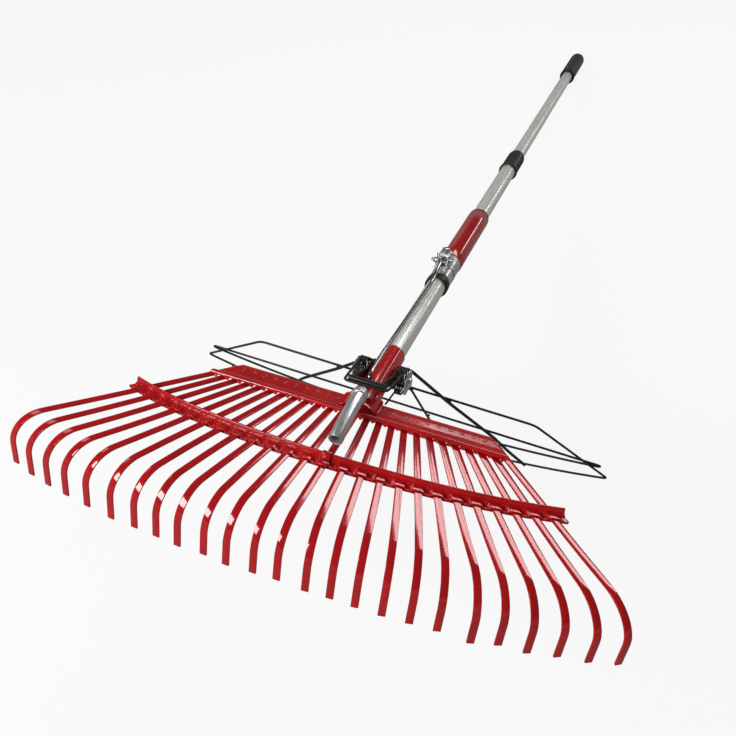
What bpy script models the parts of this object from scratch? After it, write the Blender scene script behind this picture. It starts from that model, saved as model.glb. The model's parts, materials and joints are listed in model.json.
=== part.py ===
"""Telescopic leaf rake with a sprung wire jaw, built as separate pieces.

All pieces are placed in the head's own frame, in metres: X runs across the
head, Y up the handle, Z is square to the tines, and the origin is at the
middle tine's rivet. One empty carries them all and lays the rake on the
ground, where it rests on the bow of the jaw and on the end of the handle.
"""
import math

import bmesh
import bpy
from mathutils import Matrix, Vector

MM = 0.001
GAP = 0.3 * MM

# Tines: a fan of flat spring steel strips, numbered from -12 to 12
SIDE_TINES = 12
TINE_WIDTH = 7.4 * MM
TINE_THICKNESS = 1.8 * MM
TINE_TAIL = 5.0 * MM
TINE_REACH = 176.8 * MM
TINE_BEND_RADIUS = 42.0 * MM
TINE_TIP = 17.7 * MM
RIVET_PITCH = 12.54 * MM
RIVET_SHANK = 1.5 * MM

# Front bar: an angle pressed over the tines, bowed to follow the fan
FAN_PITCH = 19.47 * MM
BAR_REACH = 112.9 * MM
BAR_SHEET = 1.4 * MM
BAR_LIP_DEPTH = 8.0 * MM
BAR_HEIGHT = 11.0 * MM
BAR_END = 12.5
ARCH_HALF = 0.30
ARCH_FOOT = 0.39

# Rear bar: a folded plate over the riveted ends
PLATE_SHEET = 1.5 * MM
PLATE_END = 12.25
PLATE_TOP = TINE_THICKNESS / 2 + GAP + PLATE_SHEET
STRIP_TOP = -TINE_THICKNESS / 2 - 2 * GAP

# Handle: outer tube, inner tube and grip on one axis
AXIS_SLOPE = 0.0192
AXIS_START = -1.7 * MM
OUTER_RADIUS = 12.7 * MM
OUTER_BORE = 11.5 * MM
INNER_RADIUS = 11.1 * MM
INNER_BORE = 10.1 * MM
OUTER_FROM = 52 * MM
COLLAR_FROM = 772 * MM
COLLAR_TO = 857 * MM
INNER_FROM = 655 * MM
GRIP_FROM = 1442 * MM
GRIP_TO = 1622 * MM
GRIP_RADIUS = 16.5 * MM

# Socket: rolled sheet around the tube, opening into a skirt on the rear bar
SOCKET_SHEET = 1.4 * MM
SOCKET_MID = OUTER_RADIUS + GAP + SOCKET_SHEET / 2
SOCKET_TO = 126 * MM
SKIRT_FROM = 50 * MM
SKIRT_FLAT = 8 * MM
SKIRT_FRONT = -13 * MM
SKIRT_HALF_WIDTH = 17 * MM
SKIRT_FOOT = 21.8 * MM
SKIRT_CROWN = 8.5 * MM

# Yoke and its pivot across the socket
PIVOT_Y = 74 * MM
PIVOT_Z = -3.4 * MM
PIVOT_RADIUS = 4.0 * MM
CROSSBAR_Y = 12 * MM
CROSSBAR_Z = 24 * MM
CROSSBAR_RADIUS = 3.2 * MM
CROSSBAR_HALF = 21.0 * MM
ARM_INNER = 15.2 * MM
ARM_SHEET = 2.0 * MM
ARM_MIDDLE = ARM_INNER + ARM_SHEET / 2
WASHER_X = 30.2 * MM

# Torsion springs round the pivot, one each side
SPRING_WIRE = 2.2 * MM
SPRING_PITCH = 2.65 * MM
SPRING_RADIUS = 15.4 * MM
SPRING_TURNS = 3.455
SPRING_START = math.radians(274.3)
SPRING_FOOT = (15.9 * MM, 45.6 * MM, -21.0 * MM)
SPRING_BEND = (24.5 * MM, 7.6 * MM, 26.6 * MM)
SPRING_POINTS = 10

# Jaw: a wire frame in one plane that hangs behind the head
JAW_BACK_Y = 140.4 * MM
JAW_BACK_Z = -52.7 * MM
JAW_TILT = math.radians(-52.7)
JAW_ROLL = math.radians(1.32)
JAW_BACK_HALF = 178.8 * MM
JAW_TIP_HALF = 284 * MM
JAW_TIP_DEPTH = 118.4 * MM
JAW_BOW = 81.9 * MM
JAW_FLAT_HALF = 70 * MM
LOOP_HALF = 270 * MM
LOOP_DEPTH = 86.3 * MM
LOOP_BOW = 52 * MM
WIRE_RADIUS = 1.5 * MM
BRACE_RADIUS = 2.8 * MM
WIRE_STEP = 2 * WIRE_RADIUS + GAP

# Slider on the outer tube, and the rod that pulls the yoke
SLIDER_BORE = 13.0 * MM
SLIDER_FROM = 303 * MM
SLEEVE_FROM = 379 * MM
SLEEVE_TO = 549 * MM
SLEEVE_RADIUS = 16.2 * MM
PIN_Y = 325 * MM
PIN_Z = 33 * MM
PIN_RADIUS = 2.5 * MM
ROD_RADIUS = 2.8 * MM
HOOK_RADIUS = CROSSBAR_RADIUS + ROD_RADIUS + 0.5 * MM
EYE_RADIUS = PIN_RADIUS + ROD_RADIUS + 0.5 * MM

# Stub tube over the middle tine
STUB_RADIUS = 7.9 * MM
STUB_BORE = 6.7 * MM
STUB_REAR = (-1.0 * MM, 24.4 * MM)
STUB_FRONT = (-81.1 * MM, 9.6 * MM)

# Colours: red, green, blue, roughness, metallic
FINISHES = {
    "red_paint": (0.52, 0.012, 0.016, 0.28, 0.0),
    "tube_steel": (0.60, 0.59, 0.55, 0.34, 0.9),
    "zinc": (0.72, 0.74, 0.74, 0.18, 1.0),
    "black_steel": (0.018, 0.018, 0.018, 0.42, 0.3),
    "black_plastic": (0.014, 0.014, 0.014, 0.55, 0.0),
    "bright_steel": (0.66, 0.66, 0.64, 0.2, 1.0),
}


def clear_scene():
    for item in list(bpy.data.objects):
        bpy.data.objects.remove(item, do_unlink=True)


def make_collection(name):
    collection = bpy.data.collections.new(name)
    bpy.context.scene.collection.children.link(collection)
    return collection


clear_scene()
PARTS = make_collection("telescopic_leaf_rake")
CUTTERS = make_collection("cutters")


def finish_material(node, finish):
    red, green, blue, roughness, metallic = FINISHES[finish]
    material = bpy.data.materials.new(node + "_" + finish)
    material.use_nodes = True
    shader = material.node_tree.nodes["Principled BSDF"]
    shader.inputs["Base Color"].default_value = (red, green, blue, 1)
    shader.inputs["Roughness"].default_value = roughness
    shader.inputs["Metallic"].default_value = metallic
    return material


def make_empty(name, location, parent=None):
    empty = bpy.data.objects.new(name, None)
    empty.location = location
    empty.parent = parent
    PARTS.objects.link(empty)
    return empty


def add_part(name, data, finish, parent, frame):
    """Link one sub-part whose own frame is given in the head's frame."""
    part = bpy.data.objects.new(name, data)
    part.data.materials.append(finish_material(name, finish))
    PARTS.objects.link(part)
    part.parent = parent
    part.matrix_basis = Matrix.Translation(-parent.location) @ frame
    return part


def axes_frame(origin, x_axis, y_axis):
    """A frame whose X and Y run along two square directions."""
    z_axis = x_axis.cross(y_axis)
    turned_axes = Matrix((x_axis, y_axis, z_axis)).transposed()
    return Matrix.Translation(origin) @ turned_axes.to_4x4()


def side_frame(x):
    """A frame for flat outlines drawn in Y and Z at one X."""
    return axes_frame(Vector((x, 0, 0)), Vector((0, 1, 0)), Vector((0, 0, 1)))


def axis_point(y):
    """The point of the handle's axis at one Y."""
    return Vector((0, y, AXIS_START + AXIS_SLOPE * y))


def handle_frame(y):
    """A frame on the handle's axis with Z pointing up the handle."""
    slope = math.atan(AXIS_SLOPE)
    return Matrix.Translation(axis_point(y)) @ Matrix.Rotation(slope - math.pi / 2, 4, "X")


def along_handle(y):
    """Distance from the start of the axis to the station at Y."""
    return y / math.cos(math.atan(AXIS_SLOPE))


def cross_frame(y, z, x=0.0):
    """A frame with Z along the head's X, for pins and bolts across it."""
    return Matrix.Translation((x, y, z)) @ Matrix.Rotation(math.pi / 2, 4, "Y")


def turned(name, finish, parent, frame, outline, steps=24, closed=True):
    """Spin (radius, height) points about the frame's Z, outer side downwards."""
    mesh = bpy.data.meshes.new(name)
    last = len(outline) - 1
    edges = [(i, i + 1) for i in range(last)]
    if closed:
        edges.append((last, 0))
    mesh.from_pydata([(radius, 0, height) for radius, height in outline], edges, [])
    part = add_part(name, mesh, finish, parent, frame)
    screw = part.modifiers.new("turn", "SCREW")
    screw.axis = "Z"
    screw.steps = steps
    screw.render_steps = steps
    screw.use_merge_vertices = True
    screw.merge_threshold = 0.00001
    return part


def ring_outline(outer, bore, low, high, bevel=0.0):
    """A plain ring's section with its outer corners broken by a bevel."""
    if not bevel:
        return [(outer, high), (outer, low), (bore, low), (bore, high)]
    return [(outer - bevel, high), (outer, high - bevel), (outer, low + bevel),
            (outer - bevel, low), (bore, low), (bore, high)]


def wire(name, finish, parent, path, radius, resolution=2, closed=False):
    """A round wire along points that are given in the head's frame."""
    curve = bpy.data.curves.new(name, "CURVE")
    curve.dimensions = "3D"
    curve.bevel_depth = radius
    curve.bevel_resolution = resolution
    curve.use_fill_caps = not closed
    spline = curve.splines.new("POLY")
    spline.points.add(len(path) - 1)
    for place, point in zip(spline.points, path):
        place.co = (*(Vector(point) - parent.location), 1)
    spline.use_cyclic_u = closed
    return add_part(name, curve, finish, parent, Matrix.Translation(parent.location))


def outline_curve(name, outline, thickness):
    """A flat closed outline with half its thickness each way."""
    curve = bpy.data.curves.new(name, "CURVE")
    curve.dimensions = "2D"
    curve.fill_mode = "BOTH"
    curve.extrude = thickness / 2
    spline = curve.splines.new("POLY")
    spline.points.add(len(outline) - 1)
    for place, point in zip(spline.points, outline):
        place.co = (point[0], point[1], 0, 1)
    spline.use_cyclic_u = True
    return curve


def as_mesh(part):
    """Turn a curve piece into a welded mesh of the same name and place."""
    bpy.context.view_layer.update()
    evaluated = part.evaluated_get(bpy.context.evaluated_depsgraph_get())
    mesh = bpy.data.meshes.new_from_object(evaluated)
    shape = bmesh.new()
    shape.from_mesh(mesh)
    bmesh.ops.remove_doubles(shape, verts=shape.verts, dist=0.00001)
    shape.to_mesh(mesh)
    shape.free()
    name, parent, basis = part.name, part.parent, part.matrix_basis.copy()
    bpy.data.objects.remove(part, do_unlink=True)
    result = bpy.data.objects.new(name, mesh)
    PARTS.objects.link(result)
    result.parent = parent
    result.matrix_basis = basis
    return result


def rod_cutter(name, frame, radius, length, sides=12):
    """A plain round cutter along its frame's Z, kept out of the model."""
    mesh = bpy.data.meshes.new(name)
    shape = bmesh.new()
    bmesh.ops.create_cone(shape, cap_ends=True, segments=sides, radius1=radius,
                          radius2=radius, depth=length)
    shape.to_mesh(mesh)
    shape.free()
    return hidden_cutter(name, mesh, frame)


def box_mesh(name, low, high):
    """A plain box between two corners."""
    mesh = bpy.data.meshes.new(name)
    shape = bmesh.new()
    size = [b - a for a, b in zip(low, high)]
    middle = [(a + b) / 2 for a, b in zip(low, high)]
    bmesh.ops.create_cube(shape, size=1,
                          matrix=Matrix.Translation(middle) @ Matrix.Diagonal((*size, 1)))
    shape.to_mesh(mesh)
    shape.free()
    return mesh


def block_cutter(name, low, high, frame=Matrix.Identity(4)):
    """A box tool between two corners, kept out of the model."""
    return hidden_cutter(name, box_mesh(name, low, high), frame)


def hide_as_cutter(part, name):
    """Take a piece out of the model to serve as a tool on another."""
    part.name = name
    PARTS.objects.unlink(part)
    CUTTERS.objects.link(part)
    part.hide_render = True
    part.display_type = "WIRE"


def hidden_cutter(name, mesh, frame):
    cutter = bpy.data.objects.new(name, mesh)
    CUTTERS.objects.link(cutter)
    cutter.parent = RAKE
    cutter.matrix_basis = frame
    cutter.hide_render = True
    cutter.display_type = "WIRE"
    return cutter


def combine(part, tool, operation="DIFFERENCE"):
    modifier = part.modifiers.new(tool.name, "BOOLEAN")
    modifier.operation = operation
    modifier.object = tool
    return part


def corner(before, at, after, radius, steps=4):
    """Points of a round corner on a path."""
    before, at, after = Vector(before), Vector(at), Vector(after)
    inward, outward = (before - at).normalized(), (after - at).normalized()
    start, stop = at + inward * radius, at + outward * radius
    points = []
    for step in range(steps + 1):
        t = step / steps
        points.append(start * (1 - t) ** 2 + at * 2 * t * (1 - t) + stop * t ** 2)
    return points


def sheet(name, finish, columns, rows, place, thickness):
    """A folded sheet: a grid shaped by place(column, row) and given a thickness."""
    shape = bmesh.new()
    bmesh.ops.create_grid(shape, x_segments=columns, y_segments=rows, size=0.5)
    for vertex in shape.verts:
        column = round((vertex.co.x + 0.5) * columns)
        row = round((vertex.co.y + 0.5) * rows)
        vertex.co = place(column, row)
    mesh = bpy.data.meshes.new(name)
    shape.to_mesh(mesh)
    shape.free()
    mesh.shade_smooth()
    mesh.set_sharp_from_angle(angle=math.radians(40))
    part = add_part(name, mesh, finish, RAKE, Matrix.Identity(4))
    solidify = part.modifiers.new("thickness", "SOLIDIFY")
    solidify.thickness = thickness
    solidify.offset = 0
    return part


def smooth_step(value):
    value = min(max(value, 0.0), 1.0)
    return value * value * (3 - 2 * value)


# The fan of tines

def tine_root(k):
    """Where tine k is riveted; k may also lie between two tines."""
    return Vector((RIVET_PITCH * k, 0, 0))


def tine_guide(k):
    """Where tine k leaves the front bar."""
    x = (FAN_PITCH - 0.005 * MM * k * k) * k
    y = -BAR_REACH + 0.183 * MM * k ** 2 + 0.000316 * MM * k ** 4
    return Vector((x, y, -0.033 * MM * k * k))


def tine_direction(k):
    """Unit vector along tine k; between tines the fan opens steadily."""
    reach = tine_guide(k) - tine_root(k)
    return reach.normalized()


def tine_up(k):
    along = tine_direction(k)
    return (Vector((0, 0, 1)) - along * along.z).normalized()


def tine_frame(k):
    return axes_frame(tine_root(k), tine_direction(k), tine_up(k))


def tine_outline(k):
    """Side view of a tine: straight, a quarter bend, a straight tip."""
    half = TINE_THICKNESS / 2
    start = TINE_REACH + 0.235 * MM * k ** 2 - 0.00037 * MM * k ** 4
    steps = 6
    top = [(-TINE_TAIL, half)]
    under = [(-TINE_TAIL, -half)]
    for step in range(steps + 1):
        angle = math.pi / 2 * step / steps
        for side, line in ((half, top), (-half, under)):
            radius = TINE_BEND_RADIUS + side
            line.append((start + radius * math.sin(angle),
                         radius * math.cos(angle) - TINE_BEND_RADIUS))
    tip = -TINE_BEND_RADIUS - TINE_TIP
    top.append((start + TINE_BEND_RADIUS + half, tip))
    under.append((start + TINE_BEND_RADIUS - half, tip))
    return top + under[::-1]


def build_tines():
    for k in range(-SIDE_TINES, SIDE_TINES + 1):
        name = "tine_%02d" % (k + SIDE_TINES + 1)
        curve = outline_curve(name, tine_outline(k), TINE_WIDTH)
        strip = as_mesh(add_part(name, curve, "red_paint", RAKE, tine_frame(k)))
        combine(strip, RIVET_HOLES)


def rivet_hole_cutter():
    """All the rivet holes as one cutter, square to the rear bar's plate."""
    mesh = bpy.data.meshes.new("rivet_holes")
    shape = bmesh.new()
    for k in range(-SIDE_TINES, SIDE_TINES + 1):
        bmesh.ops.create_cone(shape, cap_ends=True, segments=8, radius1=RIVET_SHANK + GAP,
                              radius2=RIVET_SHANK + GAP, depth=12 * MM,
                              matrix=Matrix.Translation(tine_root(k)))
    shape.to_mesh(mesh)
    shape.free()
    return hidden_cutter("rivet_holes", mesh, Matrix.Identity(4))


def rivet_heads():
    """The rivets through the tines' ends, as one tool that joins their strip."""
    head = 2.9 * MM
    top = PLATE_TOP + GAP
    profile = [(0, top + 1.9 * MM), (head * 0.62, top + 1.5 * MM), (head, top),
               (RIVET_SHANK, top), (RIVET_SHANK, STRIP_TOP - 0.6 * MM),
               (0, STRIP_TOP - 0.6 * MM)]
    shape = bmesh.new()
    for k in range(-SIDE_TINES, SIDE_TINES + 1):
        place = tine_root(k)
        verts = [shape.verts.new(Vector((radius, 0, height)) + place)
                 for radius, height in profile]
        edges = [shape.edges.new(pair) for pair in zip(verts[1:], verts[:-1])]
        bmesh.ops.spin(shape, geom=verts + edges, cent=place, axis=(0, 0, 1),
                       angle=2 * math.pi, steps=8, use_merge=True)
    bmesh.ops.remove_doubles(shape, verts=shape.verts, dist=0.00001)
    bmesh.ops.recalc_face_normals(shape, faces=shape.faces)
    mesh = bpy.data.meshes.new("rivet_heads")
    shape.to_mesh(mesh)
    shape.free()
    return hidden_cutter("rivet_heads", mesh, Matrix.Identity(4))


def build_rivet_strip():
    """The backing strip under the tines' ends, with the rivets set into it."""
    half = tine_root(SIDE_TINES).x + 4.5 * MM
    low = (-half, -5.0 * MM, STRIP_TOP - 1.3 * MM)
    high = (half, 4.5 * MM, STRIP_TOP)
    strip = add_part("rivet_strip", box_mesh("rivet_strip", low, high), "red_paint", RAKE,
                     Matrix.Identity(4))
    combine(strip, rivet_heads(), "UNION")


# The two bars that hold the fan

def front_bar_stations():
    """Four stations a tine: up, across and down each arch."""
    stations = []
    for k in range(-SIDE_TINES, SIDE_TINES + 1):
        for shift, high in ((-ARCH_FOOT, 0), (-ARCH_HALF, 1), (ARCH_HALF, 1), (ARCH_FOOT, 0)):
            stations.append((k + shift, high))
    return [(-BAR_END, 0)] + stations + [(BAR_END, 0)]


def build_front_bar():
    stations = front_bar_stations()
    crest = TINE_THICKNESS / 2 + GAP + BAR_SHEET / 2
    trough = crest - 3.1 * MM
    rows = ((0.0, None), (BAR_LIP_DEPTH, None), (BAR_LIP_DEPTH, 5.6 * MM),
            (BAR_LIP_DEPTH + 1.2 * MM, 6.8 * MM), (BAR_LIP_DEPTH + 0.6 * MM, BAR_HEIGHT))

    def place(column, row):
        k, high = stations[column]
        back, height = rows[row]
        if height is None:
            height = crest if high else trough
        if abs(k) == BAR_END and row == 0:
            k *= 1.02
        point = tine_guide(k) - tine_direction(k) * back
        return point + Vector((0, 0, height))

    sheet("front_bar", "red_paint", len(stations) - 1, len(rows) - 1, place, BAR_SHEET)


def build_front_strip():
    """A flat strip under the tines that closes the arches from below."""
    columns = 26
    under = -2.8 * MM

    def place(column, row):
        k = -BAR_END + 2 * BAR_END * column / columns
        back = (0.4 + 7.0 * row) * MM
        return tine_guide(k) - tine_direction(k) * back + Vector((0, 0, under))

    sheet("front_bar_strip", "red_paint", columns, 1, place, 1.2 * MM)


def build_bar_splice():
    """The folded clip that joins the two halves of the front bar."""
    outline = [(-BAR_REACH - 2.4 * MM, 1.3 * MM), (-BAR_REACH - 2.4 * MM, 3.6 * MM),
               (-BAR_REACH + 5.2 * MM, 3.6 * MM), (-BAR_REACH + 5.2 * MM, BAR_HEIGHT + 2.6 * MM),
               (-BAR_REACH + 12.0 * MM, BAR_HEIGHT + 2.6 * MM),
               (-BAR_REACH + 12.0 * MM, 4.0 * MM), (-BAR_REACH + 10.8 * MM, 4.0 * MM),
               (-BAR_REACH + 10.8 * MM, BAR_HEIGHT + 1.4 * MM),
               (-BAR_REACH + 6.4 * MM, BAR_HEIGHT + 1.4 * MM),
               (-BAR_REACH + 6.4 * MM, 2.9 * MM), (-BAR_REACH - 1.6 * MM, 2.9 * MM),
               (-BAR_REACH - 1.6 * MM, 1.3 * MM)]
    curve = outline_curve("bar_splice", outline, 9 * MM)
    add_part("bar_splice", curve, "red_paint", RAKE, side_frame(0))


def build_rear_bar():
    """A flat plate over the rivets, with a raised bead and a short front fold."""
    middle = PLATE_TOP - PLATE_SHEET / 2
    rows = ((-5.6 * MM, middle), (14.0 * MM, middle), (18.5 * MM, middle + 3.4 * MM),
            (21.5 * MM, middle + 3.4 * MM), (23.2 * MM, middle + 0.2 * MM))
    columns = 6

    def place(column, row):
        side = -1 + 2 * column / columns
        forward, height = rows[row]
        end = tine_root(PLATE_END) + Vector((0, 0, height))
        slant = tine_direction(PLATE_END)
        half = end.x + forward / -slant.y * slant.x
        return Vector((side * half, -forward, height))

    plate = sheet("rear_bar", "red_paint", columns, len(rows) - 1, place, PLATE_SHEET)
    combine(plate, RIVET_HOLES)


# The socket, which carries the head on the handle

def socket_section(y, turn):
    """A point of the socket's mid-surface: turn runs from -1 to 1 round it."""
    angle = turn * math.radians(177)
    centre = axis_point(y)
    round_point = Vector((SOCKET_MID * math.sin(angle), y,
                          centre.z + SOCKET_MID * math.cos(angle)))
    floor = PLATE_TOP + GAP + SOCKET_SHEET / 2
    reach = abs(turn)
    side = math.copysign(1, turn)
    if reach < 0.7:
        sweep = reach / 0.7 * math.pi / 2
        skirt = Vector((side * SKIRT_HALF_WIDTH * math.sin(sweep), y,
                        floor + SKIRT_CROWN * math.cos(sweep)))
    else:
        out = (reach - 0.7) / 0.3
        skirt = Vector((side * (SKIRT_HALF_WIDTH + out * (SKIRT_FOOT - SKIRT_HALF_WIDTH)),
                        y, floor))
    blend = smooth_step((SKIRT_FROM - y) / (SKIRT_FROM - SKIRT_FLAT))
    return round_point.lerp(skirt, blend)


def build_socket():
    stations = [SOCKET_TO, SKIRT_FROM, 42 * MM, 35 * MM, 28 * MM, 21 * MM, 14 * MM,
                SKIRT_FLAT, SKIRT_FRONT]
    columns = 26

    def place(column, row):
        return socket_section(stations[row], -1 + 2 * column / columns)

    socket = sheet("head_socket", "red_paint", columns, len(stations) - 1, place, SOCKET_SHEET)
    combine(socket, PIVOT_HOLE)


# The handle

def build_handle():
    start = along_handle(OUTER_FROM)
    end = along_handle(COLLAR_FROM + 62 * MM)
    lower = turned("lower_tube", "tube_steel", RAKE, handle_frame(0),
                   ring_outline(OUTER_RADIUS, OUTER_BORE, start, end), steps=32)
    combine(lower, PIVOT_HOLE)
    upper_frame = handle_frame(INNER_FROM)
    length = along_handle(GRIP_TO - 6 * MM - INNER_FROM)
    turned("upper_tube", "tube_steel", UPPER, upper_frame,
           ring_outline(INNER_RADIUS, INNER_BORE, 0, length), steps=32)
    plug = [(0, -GAP), (OUTER_BORE - GAP, -GAP), (OUTER_BORE - GAP, -9 * MM),
            (9.4 * MM, -14 * MM), (0, -14 * MM)]
    turned("lock_cam", "black_plastic", UPPER, upper_frame, plug, steps=24, closed=False)


def build_lock_collar():
    """The twist lock: a flared skirt, a finely ribbed barrel, a rounded top."""
    bore_low = OUTER_RADIUS + GAP
    bore_high = INNER_RADIUS + GAP
    length = along_handle(COLLAR_TO - COLLAR_FROM)
    seat = along_handle(63 * MM)
    outline = [(bore_high, length), (13.0 * MM, length), (14.6 * MM, length - 2.4 * MM),
               (14.9 * MM, length - 6 * MM), (15.1 * MM, 14 * MM), (16.0 * MM, 6 * MM),
               (16.0 * MM, 0), (bore_low, 0), (bore_low, seat), (bore_high, seat)]
    turned("lock_collar", "black_plastic", COLLAR, handle_frame(COLLAR_FROM), outline, steps=32)


def build_end_grip():
    """The moulded grip: a cup at the low end, diagonal ribs, a domed end."""
    bore = INNER_RADIUS + GAP
    length = along_handle(GRIP_TO - GRIP_FROM)
    bore_depth = length - 5.5 * MM
    outline = [(0, length), (6.5 * MM, length - 0.8 * MM), (12.0 * MM, length - 4.0 * MM),
               (15.4 * MM, length - 9.5 * MM), (GRIP_RADIUS, length - 17 * MM)]
    outline += [(GRIP_RADIUS, 8 * MM), (GRIP_RADIUS + 0.9 * MM, 4 * MM),
                (GRIP_RADIUS + 0.9 * MM, 0), (bore + 2.6 * MM, 0), (bore + 2.6 * MM, 5 * MM),
                (bore, 5 * MM), (bore, bore_depth), (0, bore_depth)]
    turned("end_grip", "black_plastic", UPPER, handle_frame(GRIP_FROM), outline, steps=32,
           closed=False)


# The slider with its rod clamp

def build_slider():
    frame = handle_frame(SLIDER_FROM)
    turned("slider_end_ring", "black_plastic", SLEEVE, frame,
           ring_outline(15.9 * MM, SLIDER_BORE, 0, 14 * MM, 1.0 * MM))
    turned("clamp_band", "zinc", SLEEVE, frame,
           ring_outline(15.4 * MM, SLIDER_BORE, 37.0 * MM, 75.5 * MM, 0.6 * MM))
    low = along_handle(SLEEVE_FROM - SLIDER_FROM)
    high = along_handle(SLEEVE_TO - SLIDER_FROM)
    turned("grip_sleeve", "red_paint", SLEEVE, frame,
           ring_outline(SLEEVE_RADIUS, SLIDER_BORE, low, high, 0.8 * MM), steps=32)
    turned("sleeve_end_ring", "black_plastic", SLEEVE, frame,
           ring_outline(15.8 * MM, SLIDER_BORE, high + GAP, high + 5 * MM, 0.8 * MM))


def build_rod_clamp():
    """A ring with an inverted channel on top, where the rod's eye is pinned."""
    frame = handle_frame(SLIDER_FROM)
    clamp = turned("rod_clamp", "zinc", SLEEVE, frame,
                   ring_outline(15.2 * MM, SLIDER_BORE - 2 * MM, 14.3 * MM, 36.7 * MM))
    channel = block_cutter("channel_block", (-7.6 * MM, 317.6 * MM, 10 * MM),
                           (7.6 * MM, 339.4 * MM, 45.0 * MM))
    combine(clamp, channel, "UNION")
    slot = block_cutter("channel_slot", (-6.0 * MM, 310 * MM, 21.4 * MM),
                        (6.0 * MM, 350 * MM, 43.4 * MM))
    combine(clamp, slot)
    bore = rod_cutter("clamp_bore", handle_frame(PIN_Y), SLIDER_BORE, 60 * MM, 24)
    combine(clamp, bore)
    combine(clamp, rod_cutter("clamp_pin_hole", cross_frame(PIN_Y, PIN_Z),
                              PIN_RADIUS + GAP, 30 * MM))
    combine(clamp, rod_cutter("clamp_top_hole", Matrix.Translation((0, 333 * MM, 44 * MM)),
                              2.3 * MM, 6 * MM, 10))


def build_clamp_fasteners():
    """The cross pin under the rod's eye, and the square-headed set screw."""
    wall = 7.6 * MM
    pin = [(0, wall + 4.2 * MM), (4.0 * MM, wall + 4.2 * MM), (4.6 * MM, wall + 3.4 * MM),
           (4.6 * MM, wall + GAP), (PIN_RADIUS, wall + GAP), (PIN_RADIUS, -wall - 9 * MM),
           (0, -wall - 9 * MM)]
    turned("clamp_pin", "zinc", SLEEVE, cross_frame(PIN_Y, PIN_Z), pin, steps=12, closed=False)
    top = 45.0 * MM + GAP
    screw = [(0, top + 4.6 * MM), (5.4 * MM, top + 4.6 * MM), (5.4 * MM, top),
             (2.0 * MM, top), (2.0 * MM, top - 4.4 * MM), (0, top - 4.4 * MM)]
    turned("set_screw", "bright_steel", SLEEVE, Matrix.Translation((0, 333 * MM, 0)), screw,
           steps=4, closed=False)


def build_wing_nut():
    """A pressed nut with two wings, free to turn on the clamp pin's thread."""
    hub_low = 7.6 * MM + GAP
    bore = PIN_RADIUS + GAP
    hub = turned("wing_nut", "bright_steel", WING, cross_frame(PIN_Y, PIN_Z),
                 ring_outline(4.6 * MM, bore - 1 * MM, -hub_low - 5 * MM, -hub_low), steps=16)
    for number, side in enumerate((-1, 1)):
        wing = block_cutter("wing_%d" % number, (-hub_low - 6.5 * MM, -1.0 * MM, 3.4 * MM),
                            (-hub_low - 2.0 * MM, 1.0 * MM, 9.6 * MM),
                            Matrix.Translation((0, PIN_Y, PIN_Z)) @
                            Matrix.Rotation(math.radians(90 + 90 * side + 25), 4, "X"))
        combine(hub, wing, "UNION")
    combine(hub, rod_cutter("wing_bore", cross_frame(PIN_Y, PIN_Z, -10 * MM), bore, 20 * MM, 16))


def build_pull_rod():
    """A bent rod: an eye on the clamp pin, a long shank, a hook under the crossbar."""
    eye = []
    steps = 9
    for step in range(steps + 1):
        angle = math.radians(-150 + 240 * step / steps)
        eye.append((PIN_Y + EYE_RADIUS * math.cos(angle), PIN_Z + EYE_RADIUS * math.sin(angle)))
    shank = [(308, 38.2), (292, 34.6), (278, 29.8), (264, 27.2), (230, 28.2), (160, 30.4),
             (95, 32.2), (60, 31.2), (34, 30.2), (24.4, 29.4), (21.0, 28.2), (19.2, 26.0)]
    hook = []
    for step in range(6):
        angle = math.radians(-2 - 148 * step / 5)
        hook.append((CROSSBAR_Y + HOOK_RADIUS * math.cos(angle),
                     CROSSBAR_Z + HOOK_RADIUS * math.sin(angle)))
    path = eye + [(y * MM, z * MM) for y, z in shank] + hook
    wire("pull_rod", "bright_steel", ROD, [(0, y, z) for y, z in path], ROD_RADIUS)


# The yoke, its pivot and the springs

def strap_outline(stations, end_points=5):
    """Outline of a strap with round ends through (y, z, half width) stations."""
    upper, lower = [], []
    for number, (y, z, half) in enumerate(stations):
        before = stations[max(number - 1, 0)]
        after = stations[min(number + 1, len(stations) - 1)]
        along = Vector((after[0] - before[0], after[1] - before[1])).normalized()
        across = Vector((-along.y, along.x)) * half
        upper.append((y + across.x, z + across.y))
        lower.append((y - across.x, z - across.y))
    return round_end(stations[0], stations[1], end_points) + lower + \
        round_end(stations[-1], stations[-2], end_points) + upper[::-1]


def round_end(station, inward, count):
    """Points of the half circle that closes a strap at one station."""
    heading = math.atan2(station[1] - inward[1], station[0] - inward[0])
    points = []
    for step in range(1, count):
        angle = heading - math.pi / 2 + math.pi * step / count
        points.append((station[0] + station[2] * math.cos(angle),
                       station[1] + station[2] * math.sin(angle)))
    return points


def build_yoke():
    stations = [(CROSSBAR_Y, CROSSBAR_Z, 3.7 * MM), (30 * MM, 16 * MM, 4.6 * MM),
                (50 * MM, 7 * MM, 5.4 * MM), (62 * MM, 1.4 * MM, 9.0 * MM),
                (PIVOT_Y, PIVOT_Z, 11.5 * MM), (87 * MM, -3.6 * MM, 8.0 * MM),
                (98 * MM, -3.0 * MM, 5.4 * MM)]
    outline = strap_outline(stations)
    left, right = [as_mesh(add_part("yoke", outline_curve("yoke", outline, ARM_SHEET),
                                    "black_steel", JAW, side_frame(side * ARM_MIDDLE)))
                   for side in (-1, 1)]
    hide_as_cutter(right, "yoke_right_arm")
    left.name = "yoke"
    combine(left, right, "UNION")
    combine(left, rod_cutter("crossbar", cross_frame(CROSSBAR_Y, CROSSBAR_Z),
                             CROSSBAR_RADIUS, 2 * CROSSBAR_HALF), "UNION")
    combine(left, PIVOT_HOLE)


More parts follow.
